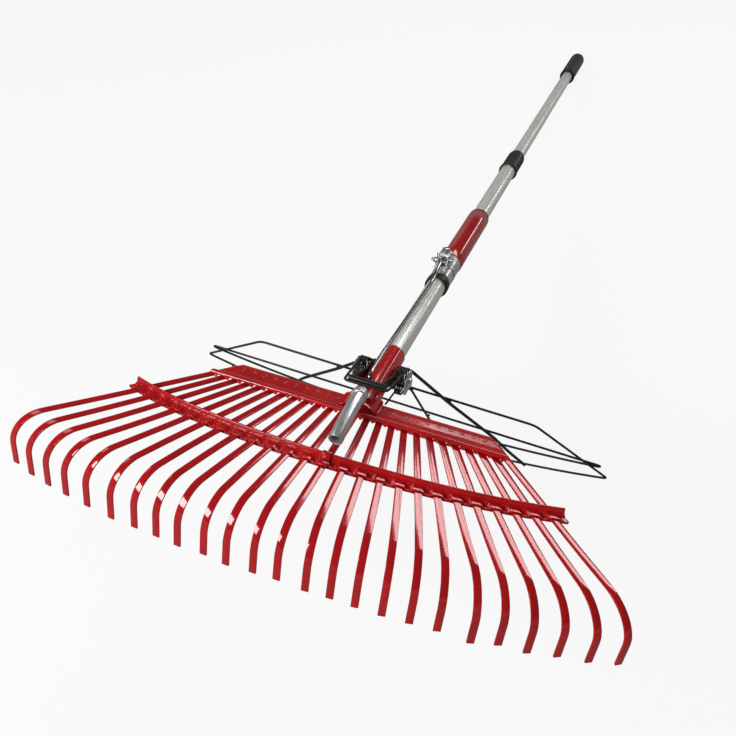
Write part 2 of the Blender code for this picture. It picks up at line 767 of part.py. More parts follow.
def build_pivot():
    """The bolt through socket and tube, with a cap washer at each end."""
    half = WASHER_X + 2.2 * MM
    bolt = [(0, half + 3.6 * MM), (3.6 * MM, half + 3.2 * MM), (6.2 * MM, half + 1.4 * MM),
            (6.2 * MM, half), (PIVOT_RADIUS, half), (PIVOT_RADIUS, -half), (6.2 * MM, -half),
            (6.2 * MM, -half - 1.4 * MM), (3.6 * MM, -half - 3.2 * MM), (0, -half - 3.6 * MM)]
    turned("pivot_bolt", "zinc", RAKE, cross_frame(PIVOT_Y, PIVOT_Z), bolt, steps=16, closed=False)
    for low, label in ((-WASHER_X - 1.8 * MM, "left"), (WASHER_X, "right")):
        turned("pivot_washer_" + label, "zinc", RAKE, cross_frame(PIVOT_Y, PIVOT_Z),
               ring_outline(15.0 * MM, PIVOT_RADIUS + GAP, low, low + 1.8 * MM), steps=24)


def spring_side(side):
    """One coil of the double spring: its foot, its turns, its leg to the bridge."""
    inner = ARM_INNER + ARM_SHEET + SPRING_WIRE / 2 + 0.5 * MM
    count = round(SPRING_TURNS * SPRING_POINTS)
    points = [Vector(SPRING_FOOT)]
    for step in range(count + 1):
        turn = SPRING_TURNS * step / count
        angle = SPRING_START + 2 * math.pi * turn
        points.append(Vector((inner + SPRING_PITCH * turn,
                              PIVOT_Y + SPRING_RADIUS * math.cos(angle),
                              PIVOT_Z + SPRING_RADIUS * math.sin(angle))))
    bend = Vector(SPRING_BEND)
    points += corner(points[-1], bend, bend - Vector((10 * MM, 0, 0)), 5 * MM, 3)
    return [Vector((side * point.x, point.y, point.z)) for point in points]


def least_gap(points, radius, skip):
    """Smallest clear distance between turns of one wire, measured on its points."""
    best = None
    for i, first in enumerate(points):
        for second in points[i + skip:]:
            gap = (Vector(first) - Vector(second)).length - 2 * radius
            best = gap if best is None else min(best, gap)
    return best


def build_spring():
    """Two coils round the pivot, joined by a bridge that lies on the crossbar."""
    path = spring_side(-1) + spring_side(1)[::-1]
    wire("torsion_spring", "black_steel", RAKE, path, SPRING_WIRE / 2, 1)
    gap = least_gap(path, SPRING_WIRE / 2, SPRING_POINTS // 2)
    print("torsion spring, least gap to itself: %.2f mm" % (gap / MM))


# The jaw: wires in one plane, welded side by side

def jaw_point(x, depth, lift=0.0):
    """A point of the jaw's plane, lifted square to it."""
    y = JAW_BACK_Y + depth * math.cos(JAW_TILT) - lift * math.sin(JAW_TILT)
    rise = depth * math.sin(JAW_TILT) + lift * math.cos(JAW_TILT)
    return Vector((x * math.cos(JAW_ROLL) + rise * math.sin(JAW_ROLL), y,
                   JAW_BACK_Z - x * math.sin(JAW_ROLL) + rise * math.cos(JAW_ROLL)))


def bow_depth(x):
    """Depth of the front wire: a bow with a short straight middle."""
    reach = max(abs(x), JAW_FLAT_HALF) / JAW_TIP_HALF
    return JAW_TIP_DEPTH + JAW_BOW * (1 - reach * reach)


def jaw_wire(name, path, lift=0.0, closed=False):
    """A thin wire drawn in the jaw's plane, as (x, depth) points."""
    placed = [jaw_point(x, depth, lift) for x, depth in path]
    wire(name, "black_steel", JAW, placed, WIRE_RADIUS, closed=closed)


def build_jaw_frame():
    """The outer frame: back wire, two slanted sides with their corners, front bow."""
    bend = 10 * MM
    tip_run = 12 * MM
    near_tip = JAW_TIP_HALF - tip_run
    back_end = JAW_BACK_HALF - bend
    jaw_wire("jaw_back_wire", [(-back_end + GAP, 0), (back_end - GAP, 0)])
    for side, label in ((-1, "left"), (1, "right")):
        back = corner((0, 0), (side * JAW_BACK_HALF, 0), (side * JAW_TIP_HALF, JAW_TIP_DEPTH), bend)
        tip = corner((side * JAW_BACK_HALF, 0), (side * JAW_TIP_HALF, JAW_TIP_DEPTH),
                     (side * near_tip, bow_depth(near_tip)), 7 * MM)
        path = [tuple(p) for p in back + tip] + [(side * near_tip, bow_depth(near_tip))]
        jaw_wire("jaw_side_" + label, path)
    front = near_tip - GAP
    steps = 9
    right = [JAW_FLAT_HALF + (front - JAW_FLAT_HALF) * step / steps for step in range(steps + 1)]
    spread = [-x for x in right[::-1]] + right
    jaw_wire("jaw_front_wire", [(x, bow_depth(x)) for x in spread])


def build_jaw_loop():
    """The inner loop, one closed wire laid on the back of the frame."""
    end = LOOP_HALF - 3 * MM
    width = 6 * MM
    upper = [(-end, LOOP_DEPTH), (0, LOOP_DEPTH), (end, LOOP_DEPTH)]
    steps = 14
    lower = [(LOOP_HALF, LOOP_DEPTH + width / 2)]
    for step in range(steps + 1):
        x = end * (1 - 2 * step / steps)
        lower.append((x, LOOP_DEPTH + width + (LOOP_BOW - width) * (1 - (x / end) ** 2)))
    lower.append((-LOOP_HALF, LOOP_DEPTH + width / 2))
    jaw_wire("jaw_loop", upper + lower, WIRE_STEP, closed=True)


def build_jaw_braces():
    """Thick braces from the yoke's arms to the front bow, and one thin hairpin."""
    lift = -(WIRE_RADIUS + BRACE_RADIUS + GAP)
    down = [(72.6, 0), (132.5, 81.6), (153.2, 120), (178.5, 158.5)]
    lug = ARM_INNER + ARM_SHEET + GAP
    for side, label in ((-1, "left"), (1, "right")):
        head = [(side * lug, 98 * MM, -3 * MM), (side * (lug + 6 * MM), 98.5 * MM, -2.6 * MM),
                (side * (lug + 10.5 * MM), 101 * MM, -4.5 * MM)]
        legs = [jaw_point(side * x * MM, depth * MM, lift) for x, depth in down]
        wire("jaw_brace_" + label, "black_steel", JAW, head + legs, BRACE_RADIUS)
    leg = [(20, -4), (24, -2), (40.8, 76.4), (47.3, 104.4), (55.3, 189)]
    right = [(x * MM, depth * MM) for x, depth in leg]
    left = [(-x, depth) for x, depth in right]
    jaw_wire("jaw_hairpin", left[::-1] + right, -WIRE_STEP)


# The stub tube in front of the yoke

def build_stub():
    rear = Vector((0, *STUB_REAR))
    front = Vector((0, *STUB_FRONT))
    along = (rear - front)
    tilt = math.atan2(along.z, along.y) - math.pi / 2
    frame = Matrix.Translation(front) @ Matrix.Rotation(tilt, 4, "X")
    turned("stub_tube", "zinc", RAKE, frame,
           ring_outline(STUB_RADIUS, STUB_BORE, 0, along.length), steps=24)
    turned("stub_collar", "zinc", RAKE, frame,
           ring_outline(9.4 * MM, STUB_RADIUS + GAP, along.length - 9 * MM,
                        along.length - 2 * MM, 0.6 * MM), steps=24)


def lay_down():
    """Turn the rake so that the jaw's bow and the grip's end lie on the ground."""
    level = Matrix.Rotation(-JAW_ROLL, 3, "Y")
    bow = level @ jaw_point(0, bow_depth(0))
    heel = level @ axis_point(GRIP_TO - 17 * MM)
    rise = (heel.z - GRIP_RADIUS) - (bow.z - WIRE_RADIUS)
    RAKE.rotation_mode = "YXZ"
    RAKE.rotation_euler = (-math.atan2(rise, heel.y - bow.y), -JAW_ROLL, 0)
    bpy.context.view_layer.update()
    corners = []
    graph = bpy.context.evaluated_depsgraph_get()
    for part in PARTS.objects:
        if part.type == "EMPTY":
            continue
        mesh = part.evaluated_get(graph).to_mesh()
        corners += [part.matrix_world @ vertex.co for vertex in mesh.vertices]
    low = [min(corner[axis] for corner in corners) for axis in range(3)]
    high = [max(corner[axis] for corner in corners) for axis in range(3)]
    RAKE.location = (-(low[0] + high[0]) / 2, -(low[1] + high[1]) / 2, -low[2])


RAKE = make_empty("rake", (0, 0, 0))
UPPER = make_empty("upper_pole_slide", axis_point(INNER_FROM), RAKE)
COLLAR = make_empty("lock_collar_axis", axis_point(COLLAR_FROM), RAKE)
SLEEVE = make_empty("sleeve_slide", axis_point(SLIDER_FROM), RAKE)
ROD = make_empty("rod_pivot", (0, PIN_Y, PIN_Z), RAKE)
WING = make_empty("wing_nut_axis", (0, PIN_Y, PIN_Z), RAKE)
JAW = make_empty("jaw_pivot", (0, PIVOT_Y, PIVOT_Z), RAKE)
RIVET_HOLES = rivet_hole_cutter()
PIVOT_HOLE = rod_cutter("pivot_hole", cross_frame(PIVOT_Y, PIVOT_Z), PIVOT_RADIUS + GAP,
                        80 * MM, 16)

build_tines()
build_rivet_strip()
build_rear_bar()
build_front_bar()
build_front_strip()
build_bar_splice()
build_socket()
build_handle()
build_lock_collar()
build_end_grip()
build_slider()
build_rod_clamp()
build_clamp_fasteners()
build_wing_nut()
build_pull_rod()
build_yoke()
build_pivot()
build_spring()
build_jaw_frame()
build_jaw_loop()
build_jaw_braces()
build_stub()
lay_down()
bpy.context.view_layer.update()
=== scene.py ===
"""Telescopic leaf rake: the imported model, dressed piece by piece.

Every piece is shaped in the head's own frame, in metres: X runs across the
head, Y up the handle, Z is square to the tines, and the origin is at the middle
tine's rivet. Its place then goes into its mesh.
"""
import json
import math
import random

import bmesh
import bpy
from mathutils import Matrix, Vector


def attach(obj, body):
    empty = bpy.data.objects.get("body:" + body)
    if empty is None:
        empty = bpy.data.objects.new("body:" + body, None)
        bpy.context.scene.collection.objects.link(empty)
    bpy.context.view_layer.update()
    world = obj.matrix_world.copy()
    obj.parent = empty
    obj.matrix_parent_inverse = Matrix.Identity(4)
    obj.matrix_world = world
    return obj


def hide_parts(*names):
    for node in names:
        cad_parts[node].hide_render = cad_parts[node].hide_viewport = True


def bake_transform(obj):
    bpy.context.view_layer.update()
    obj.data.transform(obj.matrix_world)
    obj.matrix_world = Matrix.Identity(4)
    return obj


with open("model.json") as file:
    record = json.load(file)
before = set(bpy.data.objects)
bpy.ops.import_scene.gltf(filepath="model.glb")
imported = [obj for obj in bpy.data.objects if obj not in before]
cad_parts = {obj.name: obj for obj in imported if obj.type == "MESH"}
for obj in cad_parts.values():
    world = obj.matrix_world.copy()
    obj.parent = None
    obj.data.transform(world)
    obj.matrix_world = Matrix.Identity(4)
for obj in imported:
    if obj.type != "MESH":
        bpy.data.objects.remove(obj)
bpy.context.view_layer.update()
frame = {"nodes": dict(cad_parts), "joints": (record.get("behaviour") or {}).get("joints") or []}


# Camera: it stands in front of the tines, a little to the right and above them,
# and looks along the pole. The head's frame comes from the jaw's hinge, which
# runs across the head, and from the pole, which leans 1.1 degrees to the tines.
MM = 0.001
POLE_SLOPE = 0.0192
PIVOT = Vector((0, 74.0, -3.4)) * MM
CAMERA_SPOT = Vector((212.3, -798.6, 578.5)) * MM
CAMERA_RIGHT = Vector((0.9393, 0.3232, 0.1147))
CAMERA_UP = Vector((-0.2677, 0.4818, 0.8344))
CAMERA_LENS = 45.73
CAMERA_SENSOR = 36
CAMERA_REACH = 100


def deselect():
    bpy.ops.object.select_all(action="DESELECT")


def turn_to(right, up):
    """The turn that lays X and Y along two directions."""
    return Matrix((right, up, right.cross(up))).transposed()


joints = {joint["name"]: joint for joint in frame["joints"]}
across = Vector(joints["jaw_hinge"]["axis"]).normalized()
pole = Vector(joints["sleeve_slide"]["axis"])
pole = (pole - across * pole.dot(across)).normalized()
lean = math.atan(POLE_SLOPE)
head_turn = turn_to(across, pole * math.cos(lean) - across.cross(pole) * math.sin(lean))
hinge_spot = Vector(joints["jaw_hinge"]["pos_m"])
HEAD = Matrix.Translation(hinge_spot - head_turn @ PIVOT) @ head_turn.to_4x4()

deselect()
bpy.ops.object.camera_add()
camera = bpy.context.object
camera.name = "camera"
camera.data.lens = CAMERA_LENS
camera.data.sensor_width = CAMERA_SENSOR
camera.data.clip_end = CAMERA_REACH
camera_turn = turn_to(CAMERA_RIGHT, CAMERA_UP)
camera.matrix_world = HEAD @ Matrix.Translation(CAMERA_SPOT) @ camera_turn.to_4x4()
bpy.context.scene.camera = camera
bpy.context.scene.view_settings.view_transform = "Standard"


# Stage: a white floor that keeps a soft shadow, a white backdrop under a dim
# ceiling, a softbox at the front left and a dim one at the left, two cards behind
# the pole, which glare on the right tines, and a strip light for the tubes' streak.
FLOOR_SIDE = 16.0
FLOOR_TONE = 0.86
FLOOR_ROUGHNESS = 0.9
FLOOR_SPECULAR = 0.2
FLOOR_GLOW = 0.86
FLOOR_SHINE = 0.14
FLOOR_DIMMED = 0.90
BACKDROP_SHINE = 0.28
HORIZON = 0.80
HORIZON_FOOT = 0.02
HORIZON_TOP = 0.30
SURROUND = 0.20
CEILING = 0.05
# Name, spot and aim in metres, width and height, roll in degrees, power in watts.
LAMPS = (
    ("softbox", (-1.18, -1.65, 0.97), (-0.08, -0.19, 0), (1.15, 0.72), 0, 34),
    ("side_softbox", (-1.71, 0.38, 1.56), (-0.25, -0.15, 0), (0.7, 0.6), 0, 2.4),
    ("card_high", (0.32, 1.52, 1.62), (0, -0.10, 0), (1.85, 0.26), 0, 8.4),
    ("card_low", (0.495, 1.625, 1.438), (0, -0.10, 0), (1.6, 0.185), 0, 5.1),
    ("strip_light", (0.80, 2.20, 0.715), (0, 0.40, 0), (0.96, 0.13), -40, 1.7))


class Level:
    """A socket whose value changes over a surface: sums on it add Math nodes."""

    def __init__(self, tree, socket):
        self.tree = tree
        self.socket = socket

    def sum_of(self, operation, *values):
        return self.tree.node("ShaderNodeMath", {"operation": operation},
                              dict(enumerate(values)))

    def __add__(self, other):
        return self.sum_of("ADD", self, other)

    def __radd__(self, other):
        return self.sum_of("ADD", other, self)

    def __sub__(self, other):
        return self.sum_of("SUBTRACT", self, other)

    def __rsub__(self, other):
        return self.sum_of("SUBTRACT", other, self)

    def __rmul__(self, other):
        return self.sum_of("MULTIPLY", other, self)


class Tree:
    """The nodes of a material or of the world."""

    def __init__(self, owner):
        owner.use_nodes = True
        self.nodes = owner.node_tree.nodes
        self.links = owner.node_tree.links

    def node(self, kind, settings, sockets, output=0):
        """Add a node: its settings first, then its sockets' values or links."""
        node = self.nodes.new(kind)
        for name, value in settings.items():
            setattr(node, name, value)
        for name, value in sockets.items():
            if isinstance(value, Level):
                self.links.new(value.socket, node.inputs[name])
            else:
                node.inputs[name].default_value = value
        return Level(self, node.outputs[output])

    def ray(self, kind):
        return self.node("ShaderNodeLightPath", {}, {}, kind)

    def either(self, factor, first, second):
        """The first shader where the factor is 0, the second where it is 1."""
        return self.node("ShaderNodeMixShader", {}, {0: factor, 1: first, 2: second})

    def step(self, level, low, high):
        """A level cut to 0 below low and 1 above high, smooth between them."""
        return self.node("ShaderNodeMapRange", {"interpolation_type": "SMOOTHSTEP"},
                         {"Value": level, "From Min": low, "From Max": high})

    def show(self, output, level):
        """Link a shader to an output node."""
        self.links.new(level.socket, self.nodes[output].inputs["Surface"])


deselect()
bpy.ops.mesh.primitive_plane_add(size=FLOOR_SIDE)
floor = bpy.context.object
floor.name = "floor"
floor_white = bpy.data.materials.new("floor_white")
floor.data.materials.append(floor_white)
paint = Tree(floor_white)
matt = paint.nodes["Principled BSDF"]
matt.inputs["Base Color"].default_value = (FLOOR_TONE, FLOOR_TONE, FLOOR_TONE, 1)
matt.inputs["Roughness"].default_value = FLOOR_ROUGHNESS
matt.inputs["Specular IOR Level"].default_value = FLOOR_SPECULAR
glow = paint.node("ShaderNodeEmission", {}, {"Strength": 1.0})
dull = paint.node("ShaderNodeEmission", {}, {"Strength": FLOOR_SHINE})
lit = paint.either(FLOOR_GLOW * paint.ray("Is Camera Ray"), Level(paint, matt.outputs[0]), glow)
lit = paint.either(FLOOR_DIMMED * paint.ray("Is Glossy Ray"), lit, dull)
paint.show("Material Output", lit)

bpy.context.scene.world = bpy.data.worlds.new("studio")
studio = Tree(bpy.context.scene.world)
direction = studio.node("ShaderNodeTexCoord", {}, {}, "Generated")
height = studio.node("ShaderNodeSeparateXYZ", {}, {0: direction}, "Z")
above = studio.step(height, HORIZON_FOOT, HORIZON_TOP)
white, shine, ceiling, horizon, surround = (
    studio.node("ShaderNodeBackground", {}, {"Color": (tone, tone, tone, 1)})
    for tone in (1, BACKDROP_SHINE, CEILING, HORIZON, SURROUND))
lit = studio.either(studio.ray("Is Glossy Ray"), studio.either(above, horizon, surround),
                    studio.either(above, shine, ceiling))
studio.show("World Output", studio.either(studio.ray("Is Camera Ray"), lit, white))

for name, spot, aim, size, roll, power in LAMPS:
    deselect()
    bpy.ops.object.light_add(type="AREA")
    lamp = bpy.context.object
    lamp.name = name
    lamp.data.shape = "RECTANGLE"
    lamp.data.size, lamp.data.size_y = size
    lamp.data.energy = power
    facing = (Vector(aim) - Vector(spot)).to_track_quat("-Z", "Y").to_matrix().to_4x4()
    lamp.matrix_world = (HEAD @ Matrix.Translation(spot) @ facing
                         @ Matrix.Rotation(math.radians(roll), 4, "Z"))


# Tines: 25 flat spring steel strips with rolled edges, riveted at the rear bar
# and led through the front bar, with a wide quarter bend and a straight tip.
# They carry a gloss red powder coat with a fine orange peel.
SIDE_TINES = 12
RIVET_PITCH = 12.54 * MM
# The front bar's guides, in mm: k and its cube aside, 1 and k's second and fourth
# power down the tines, and its square below their plane.
GUIDE_ASIDE = (19.47, -0.005)
GUIDE_BOW = (-112.9, 0.183, 0.000316)
GUIDE_SAG = -0.033
TINE_WIDTH = 7.4 * MM
TINE_THICKNESS = 1.8 * MM
TINE_TAIL = 5.0 * MM
TINE_GUIDED = 122 * MM
TINE_LENGTHS = (12 * MM, 20 * MM, 30.7 * MM)
TINE_REACH = 184.7 * MM
TINE_BEND_RADIUS = 33.9 * MM
TINE_BEND_STEPS = 14
TINE_TIP = 25.7 * MM
TINE_CORNER = 0.7 * MM
TINE_EDGE = 0.35 * MM
# The outer tines are longer by these shares of k's second and fourth power, in mm.
TINE_LONGER = (0.226, -0.00056)
TINE_EARLY = 2.2 * MM
TINE_EARLY_AFTER = 8
TINE_TURN_LEFT = 0.72
TINE_TURN_RIGHT = 0.15
# How far each tine's tip stands aside and hangs down from its drawn place, in mm.
TINE_SET = ((2.0, 0), (3.0, 1.5), (4.5, 2.0), (5.5, 2.0), (2.0, 0.7), (-3.5, 0), (-5.5, -2.0),
            (-3.8, -1.2), (-0.8, 0.9), (-3.2, -1.2), (-0.6, 2.0), (-2.4, -0.3), (-0.4, -1.6),
            (-2.8, 0.5), (-0.9, -0.4), (0.9, 0.4), (1.3, 0.6), (1.7, -0.2), (2.3, -0.8),
            (-3.0, 5.0), (-0.6, -1.6), (-0.4, 0.4), (-0.6, -1.8), (-3.0, 0.6), (-3.2, 0))
TINE_RED = (0.52, 0.0085, 0.012)
TINE_DEEP = (0.45, 0.007, 0.010)
PIT_RED = (0.16, 0.002, 0.003)
PEEL_DEPTH = 0.0015 * MM
QUARTER = math.pi / 2
NEAR = 0.1 * MM
EDGE = 0.3 * MM


class Finish(Tree):
    """A material for a piece; what is even all over it is given as pairs."""

    def __init__(self, name, *even):
        self.material = bpy.data.materials.new(name)
        super().__init__(self.material)
        self.shader = self.nodes["Principled BSDF"]
        for socket, value in even:
            self.shader.inputs[socket].default_value = value

    def grain(self, scale, detail=2.0, stretch=(1, 1, 1), turn=(0, 0, 0)):
        """Soft noise; scale counts its blots in a metre, stretch draws them out."""
        place = self.node("ShaderNodeTexCoord", {}, {}, "Object")
        turned = self.node("ShaderNodeMapping", {}, {"Vector": place, "Rotation": turn})
        drawn = self.node("ShaderNodeVectorMath", {"operation": "MULTIPLY"},
                          {0: turned, 1: stretch})
        return self.node("ShaderNodeTexNoise", {},
                         {"Vector": drawn, "Scale": scale, "Detail": detail})

    def mix(self, factor, first, second):
        sides = [side if isinstance(side, Level) else (*side, 1) for side in (first, second)]
        return self.node("ShaderNodeMix", {"data_type": "RGBA"},
                         {0: factor, 6: sides[0], 7: sides[1]}, 2)

    def relief(self, height, depth):
        self.give("Normal", self.node("ShaderNodeBump", {}, {"Height": height, "Distance": depth}))

    def give(self, socket, level):
        self.links.new(level.socket, self.shader.inputs[socket])


def red_coat(name, light, dark, peel, gloss, flake=0.0):
    """Powder coat: cloudy by a shade, orange peel and fine pits that are darker and rougher."""
    coat = Finish(name, ("Coat Roughness", gloss / 2), ("Metallic", flake))
    cloud = coat.grain(28, 3)
    fine = coat.grain(950)
    pits = coat.step(coat.grain(1700, 1), 0.66, 0.74)
    colour = coat.mix(coat.step(cloud, 0.35, 0.65), dark, light)
    coat.give("Base Color", coat.mix(0.35 * pits, colour, PIT_RED))
    coat.give("Roughness", gloss + 0.05 * cloud + 0.04 * fine + 0.03 * pits)
    coat.give("Coat Weight", 0.55 - 0.08 * pits)
    coat.relief(coat.grain(peel) + 0.25 * fine - 0.1 * pits, PEEL_DEPTH)
    return coat.material


def choose(piece):
    deselect()
    piece.select_set(True)
    bpy.context.view_layer.objects.active = piece


def edit(piece):
    choose(piece)
    bpy.ops.object.mode_set(mode="EDIT")


def leave():
    bpy.ops.object.mode_set(mode="OBJECT")


def pick(kind, test):
    """Select the vertices, edges or faces whose middle passes a test."""
    mesh = bpy.context.edit_object.data
    bpy.ops.mesh.select_mode(type=kind)
    bpy.ops.mesh.select_all(action="DESELECT")
    shape = bmesh.from_edit_mesh(mesh)
    for item in {"VERT": shape.verts, "EDGE": shape.edges, "FACE": shape.faces}[kind]:
        corners = getattr(item, "verts", [item])
        if test(sum((corner.co for corner in corners), Vector()) / len(corners)):
            item.select_set(True)
    bmesh.update_edit_mesh(mesh)


def draw_out(*move):
    bpy.ops.mesh.extrude_region_move(TRANSFORM_OT_translate={"value": move})


def new_piece(name):
    """Name the primitive that was just added, and put its place in its mesh."""
    piece = bpy.context.object
    piece.name = name
    bpy.ops.object.transform_apply()
    return piece


def block(name, centre, size):
    deselect()
    bpy.ops.mesh.primitive_cube_add(size=1, location=centre, scale=size)
    return new_piece(name)


def copy_of(model, name):
    """A copy with a mesh of its own."""
    copy = model.copy()
    copy.data = model.data.copy()
    copy.name = name
    bpy.context.collection.objects.link(copy)
    return copy


def apply_modifier(piece, kind, **settings):
    choose(piece)
    modifier = piece.modifiers.new(kind.lower(), kind)
    for name, value in settings.items():
        setattr(modifier, name, value)
    bpy.ops.object.modifier_apply(modifier=modifier.name)


def soften(piece, width=EDGE, segments=2, angle=40):
    """Break the sharp edges of a piece."""
    apply_modifier(piece, "BEVEL", width=width, segments=segments, limit_method="ANGLE",
                   angle_limit=math.radians(angle), harden_normals=False)


def settle(piece, material, place=Matrix.Identity(4), angle=50):
    """Put the piece's place in its mesh, and give it its finish."""
    piece.data.transform(HEAD @ place)
    piece.data.materials.clear()
    piece.data.materials.append(material)
    choose(piece)
    bpy.ops.object.shade_smooth_by_angle(angle=math.radians(angle))


def tine_root(k):
    return Vector((RIVET_PITCH * k, 0, 0))


def tine_guide(k):
    """Where tine k leaves the front bar; k may also lie between two tines."""
    return Vector((GUIDE_ASIDE[0] * k + GUIDE_ASIDE[1] * k ** 3,
                   GUIDE_BOW[0] + GUIDE_BOW[1] * k ** 2 + GUIDE_BOW[2] * k ** 4,
                   GUIDE_SAG * k ** 2)) * MM


def tine_direction(k):
    return (tine_guide(k) - tine_root(k)).normalized()


def tine_place(k):
    along = tine_direction(k)
    up = (Vector((0, 0, 1)) - along * along.z).normalized()
    return Matrix.Translation(tine_root(k)) @ turn_to(along, up).to_4x4()


def face_turned(at, turn):
    """Turn a tine's face about its own middle line, more and more along the bend."""
    bent = min(max(math.atan2(at.x - TINE_REACH, at.y + TINE_BEND_RADIUS), 0), QUARTER)
    if bent == 0:
        return at
    centre = Vector((TINE_REACH + TINE_BEND_RADIUS * math.sin(bent),
                     min(at.y, -TINE_BEND_RADIUS) if bent == QUARTER
                     else TINE_BEND_RADIUS * (math.cos(bent) - 1), 0))
    along = Vector((math.cos(bent), -math.sin(bent), 0))
    return centre + Matrix.Rotation(turn * bent / QUARTER, 3, along) @ (at - centre)


tine_model = block("tine", ((TINE_GUIDED - TINE_TAIL) / 2, 0, 0),
                   (TINE_GUIDED + TINE_TAIL, TINE_THICKNESS, TINE_WIDTH))
edit(tine_model)
pick("FACE", lambda at: at.x > TINE_GUIDED - NEAR)
for length in TINE_LENGTHS:
    draw_out(length, 0, 0)
bpy.ops.mesh.spin(steps=TINE_BEND_STEPS, angle=QUARTER, axis=(0, 0, 1),
                  center=(TINE_REACH, -TINE_BEND_RADIUS, 0))
for part in range(2):
    draw_out(0, -TINE_TIP / 2, 0)
tip_foot = -TINE_BEND_RADIUS - TINE_TIP
pick("EDGE", lambda at: (at.y < tip_foot + NEAR or at.x < -TINE_TAIL + NEAR)
     and abs(at.z) > TINE_WIDTH / 2 - NEAR)
bpy.ops.mesh.bevel(offset=TINE_CORNER, segments=3)
leave()
soften(tine_model, TINE_EDGE, 3)
tine_finish = red_coat("tine_powder_coat", TINE_RED, TINE_DEEP, 420, 0.07, 0.08)
for k in range(-SIDE_TINES, SIDE_TINES + 1):
    tine = copy_of(tine_model, "tine_strip_%02d" % (k + SIDE_TINES + 1))
    longer = (TINE_LONGER[0] * k ** 2 + TINE_LONGER[1] * k ** 4) * MM
    early = TINE_EARLY * max(k - TINE_EARLY_AFTER, 0)
    aside, drop = TINE_SET[k + SIDE_TINES]
    heading = tine_direction(k)
    turn = math.atan2(heading.x, -heading.y) * (TINE_TURN_LEFT if k < 0 else TINE_TURN_RIGHT)
    for vertex in tine.data.vertices:
        vertex.co = face_turned(vertex.co, turn)
        free = max(vertex.co.x - TINE_GUIDED, 0)
        beyond = min(free / (TINE_REACH + TINE_BEND_RADIUS - TINE_GUIDED), 1)
        bent = min(max(vertex.co.x - TINE_REACH, 0) / TINE_BEND_RADIUS, 1)
        vertex.co.x += (longer - early * (1 - bent)) * min(free / (TINE_REACH - TINE_GUIDED), 1)
        vertex.co.y -= drop * MM * bent ** 2
        vertex.co.z += aside * MM * beyond ** 2
    settle(tine, tine_finish, tine_place(k), 32)
    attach(tine, "head")
    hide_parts("tine_%02d" % (k + SIDE_TINES + 1))
bpy.data.objects.remove(tine_model, do_unlink=True)


# Rivet strip: a flat steel strip under the tines' ends, with 25 dimpled rivets
# that go up through the tines and the rear bar. Both are coated with the bars.
STRIP_OVERHANG = 4.5 * MM
STRIP_SIZE = Vector((2 * (SIDE_TINES * RIVET_PITCH + STRIP_OVERHANG), 9.5 * MM, 1.3 * MM))
STRIP_CENTRE = Vector((0, -0.25, -2.15)) * MM
STRIP_CORNER = 2.0 * MM
STRIP_EDGE = 0.25 * MM
RIVET_SEAT = 2.8 * MM
RIVET_OUTLINE = ((0.001, -2.7), (1.4, -2.7), (1.5, -0.25), (2.5, -0.2), (2.6, 0.05), (2.4, 0.35),
                 (1.9, 0.5), (1.4, 0.4), (1.1, 0.05), (0.95, -0.8), (0.001, -1.0))
RIVET_RED = (0.50, 0.008, 0.0095)
RIVET_DEEP = (0.42, 0.007, 0.008)
MERGED = 0.003 * MM


def face_out(piece):
    """Merge the points that lie together, and turn all faces outwards."""
    edit(piece)
    bpy.ops.mesh.select_all(action="SELECT")
    bpy.ops.mesh.remove_doubles(threshold=MERGED)
    bpy.ops.mesh.normals_make_consistent(inside=False)
    leave()


def turned_piece(name, outline, sides):
    """A piece turned about Z: one ring drawn out and resized along its outline."""
    stations = [(radius * MM, height * MM) for radius, height in outline]
    deselect()
    bpy.ops.mesh.primitive_circle_add(vertices=sides, radius=stations[0][0],
                                      location=(0, 0, stations[0][1]))
    piece = new_piece(name)
    edit(piece)
    bpy.ops.mesh.select_mode(type="EDGE")
    bpy.ops.mesh.select_all(action="SELECT")
    for (before, low), (after, high) in zip(stations, stations[1:]):
        draw_out(0, 0, high - low)
        grow = after / before
        bpy.ops.transform.resize(value=(grow, grow, 1), center_override=(0, 0, high))
    leave()
    face_out(piece)
    return piece


def join(first, *others):
    choose(first)
    for piece in others:
        piece.select_set(True)
    bpy.ops.object.join()


rivet_strip = block("rivet_strip_and_rivets", STRIP_CENTRE, STRIP_SIZE)
edit(rivet_strip)
pick("EDGE", lambda at: abs(at.x) > STRIP_SIZE.x / 2 - NEAR
     and abs(at.y - STRIP_CENTRE.y) > STRIP_SIZE.y / 2 - NEAR)
bpy.ops.mesh.bevel(offset=STRIP_CORNER, segments=4)
leave()
soften(rivet_strip, STRIP_EDGE)
rivet_model = turned_piece("rivet_model", RIVET_OUTLINE, 20)
rivets = []
for k in range(-SIDE_TINES, SIDE_TINES + 1):
    rivets.append(copy_of(rivet_model, "rivet"))
    rivets[-1].data.transform(Matrix.Translation(tine_root(k) + Vector((0, 0, RIVET_SEAT))))
bpy.data.objects.remove(rivet_model, do_unlink=True)
join(rivet_strip, *rivets)
rivet_finish = red_coat("rivet_powder_coat", RIVET_RED, RIVET_DEEP, 420, 0.32)
settle(rivet_strip, rivet_finish, angle=32)
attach(rivet_strip, "head")
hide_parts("rivet_strip")


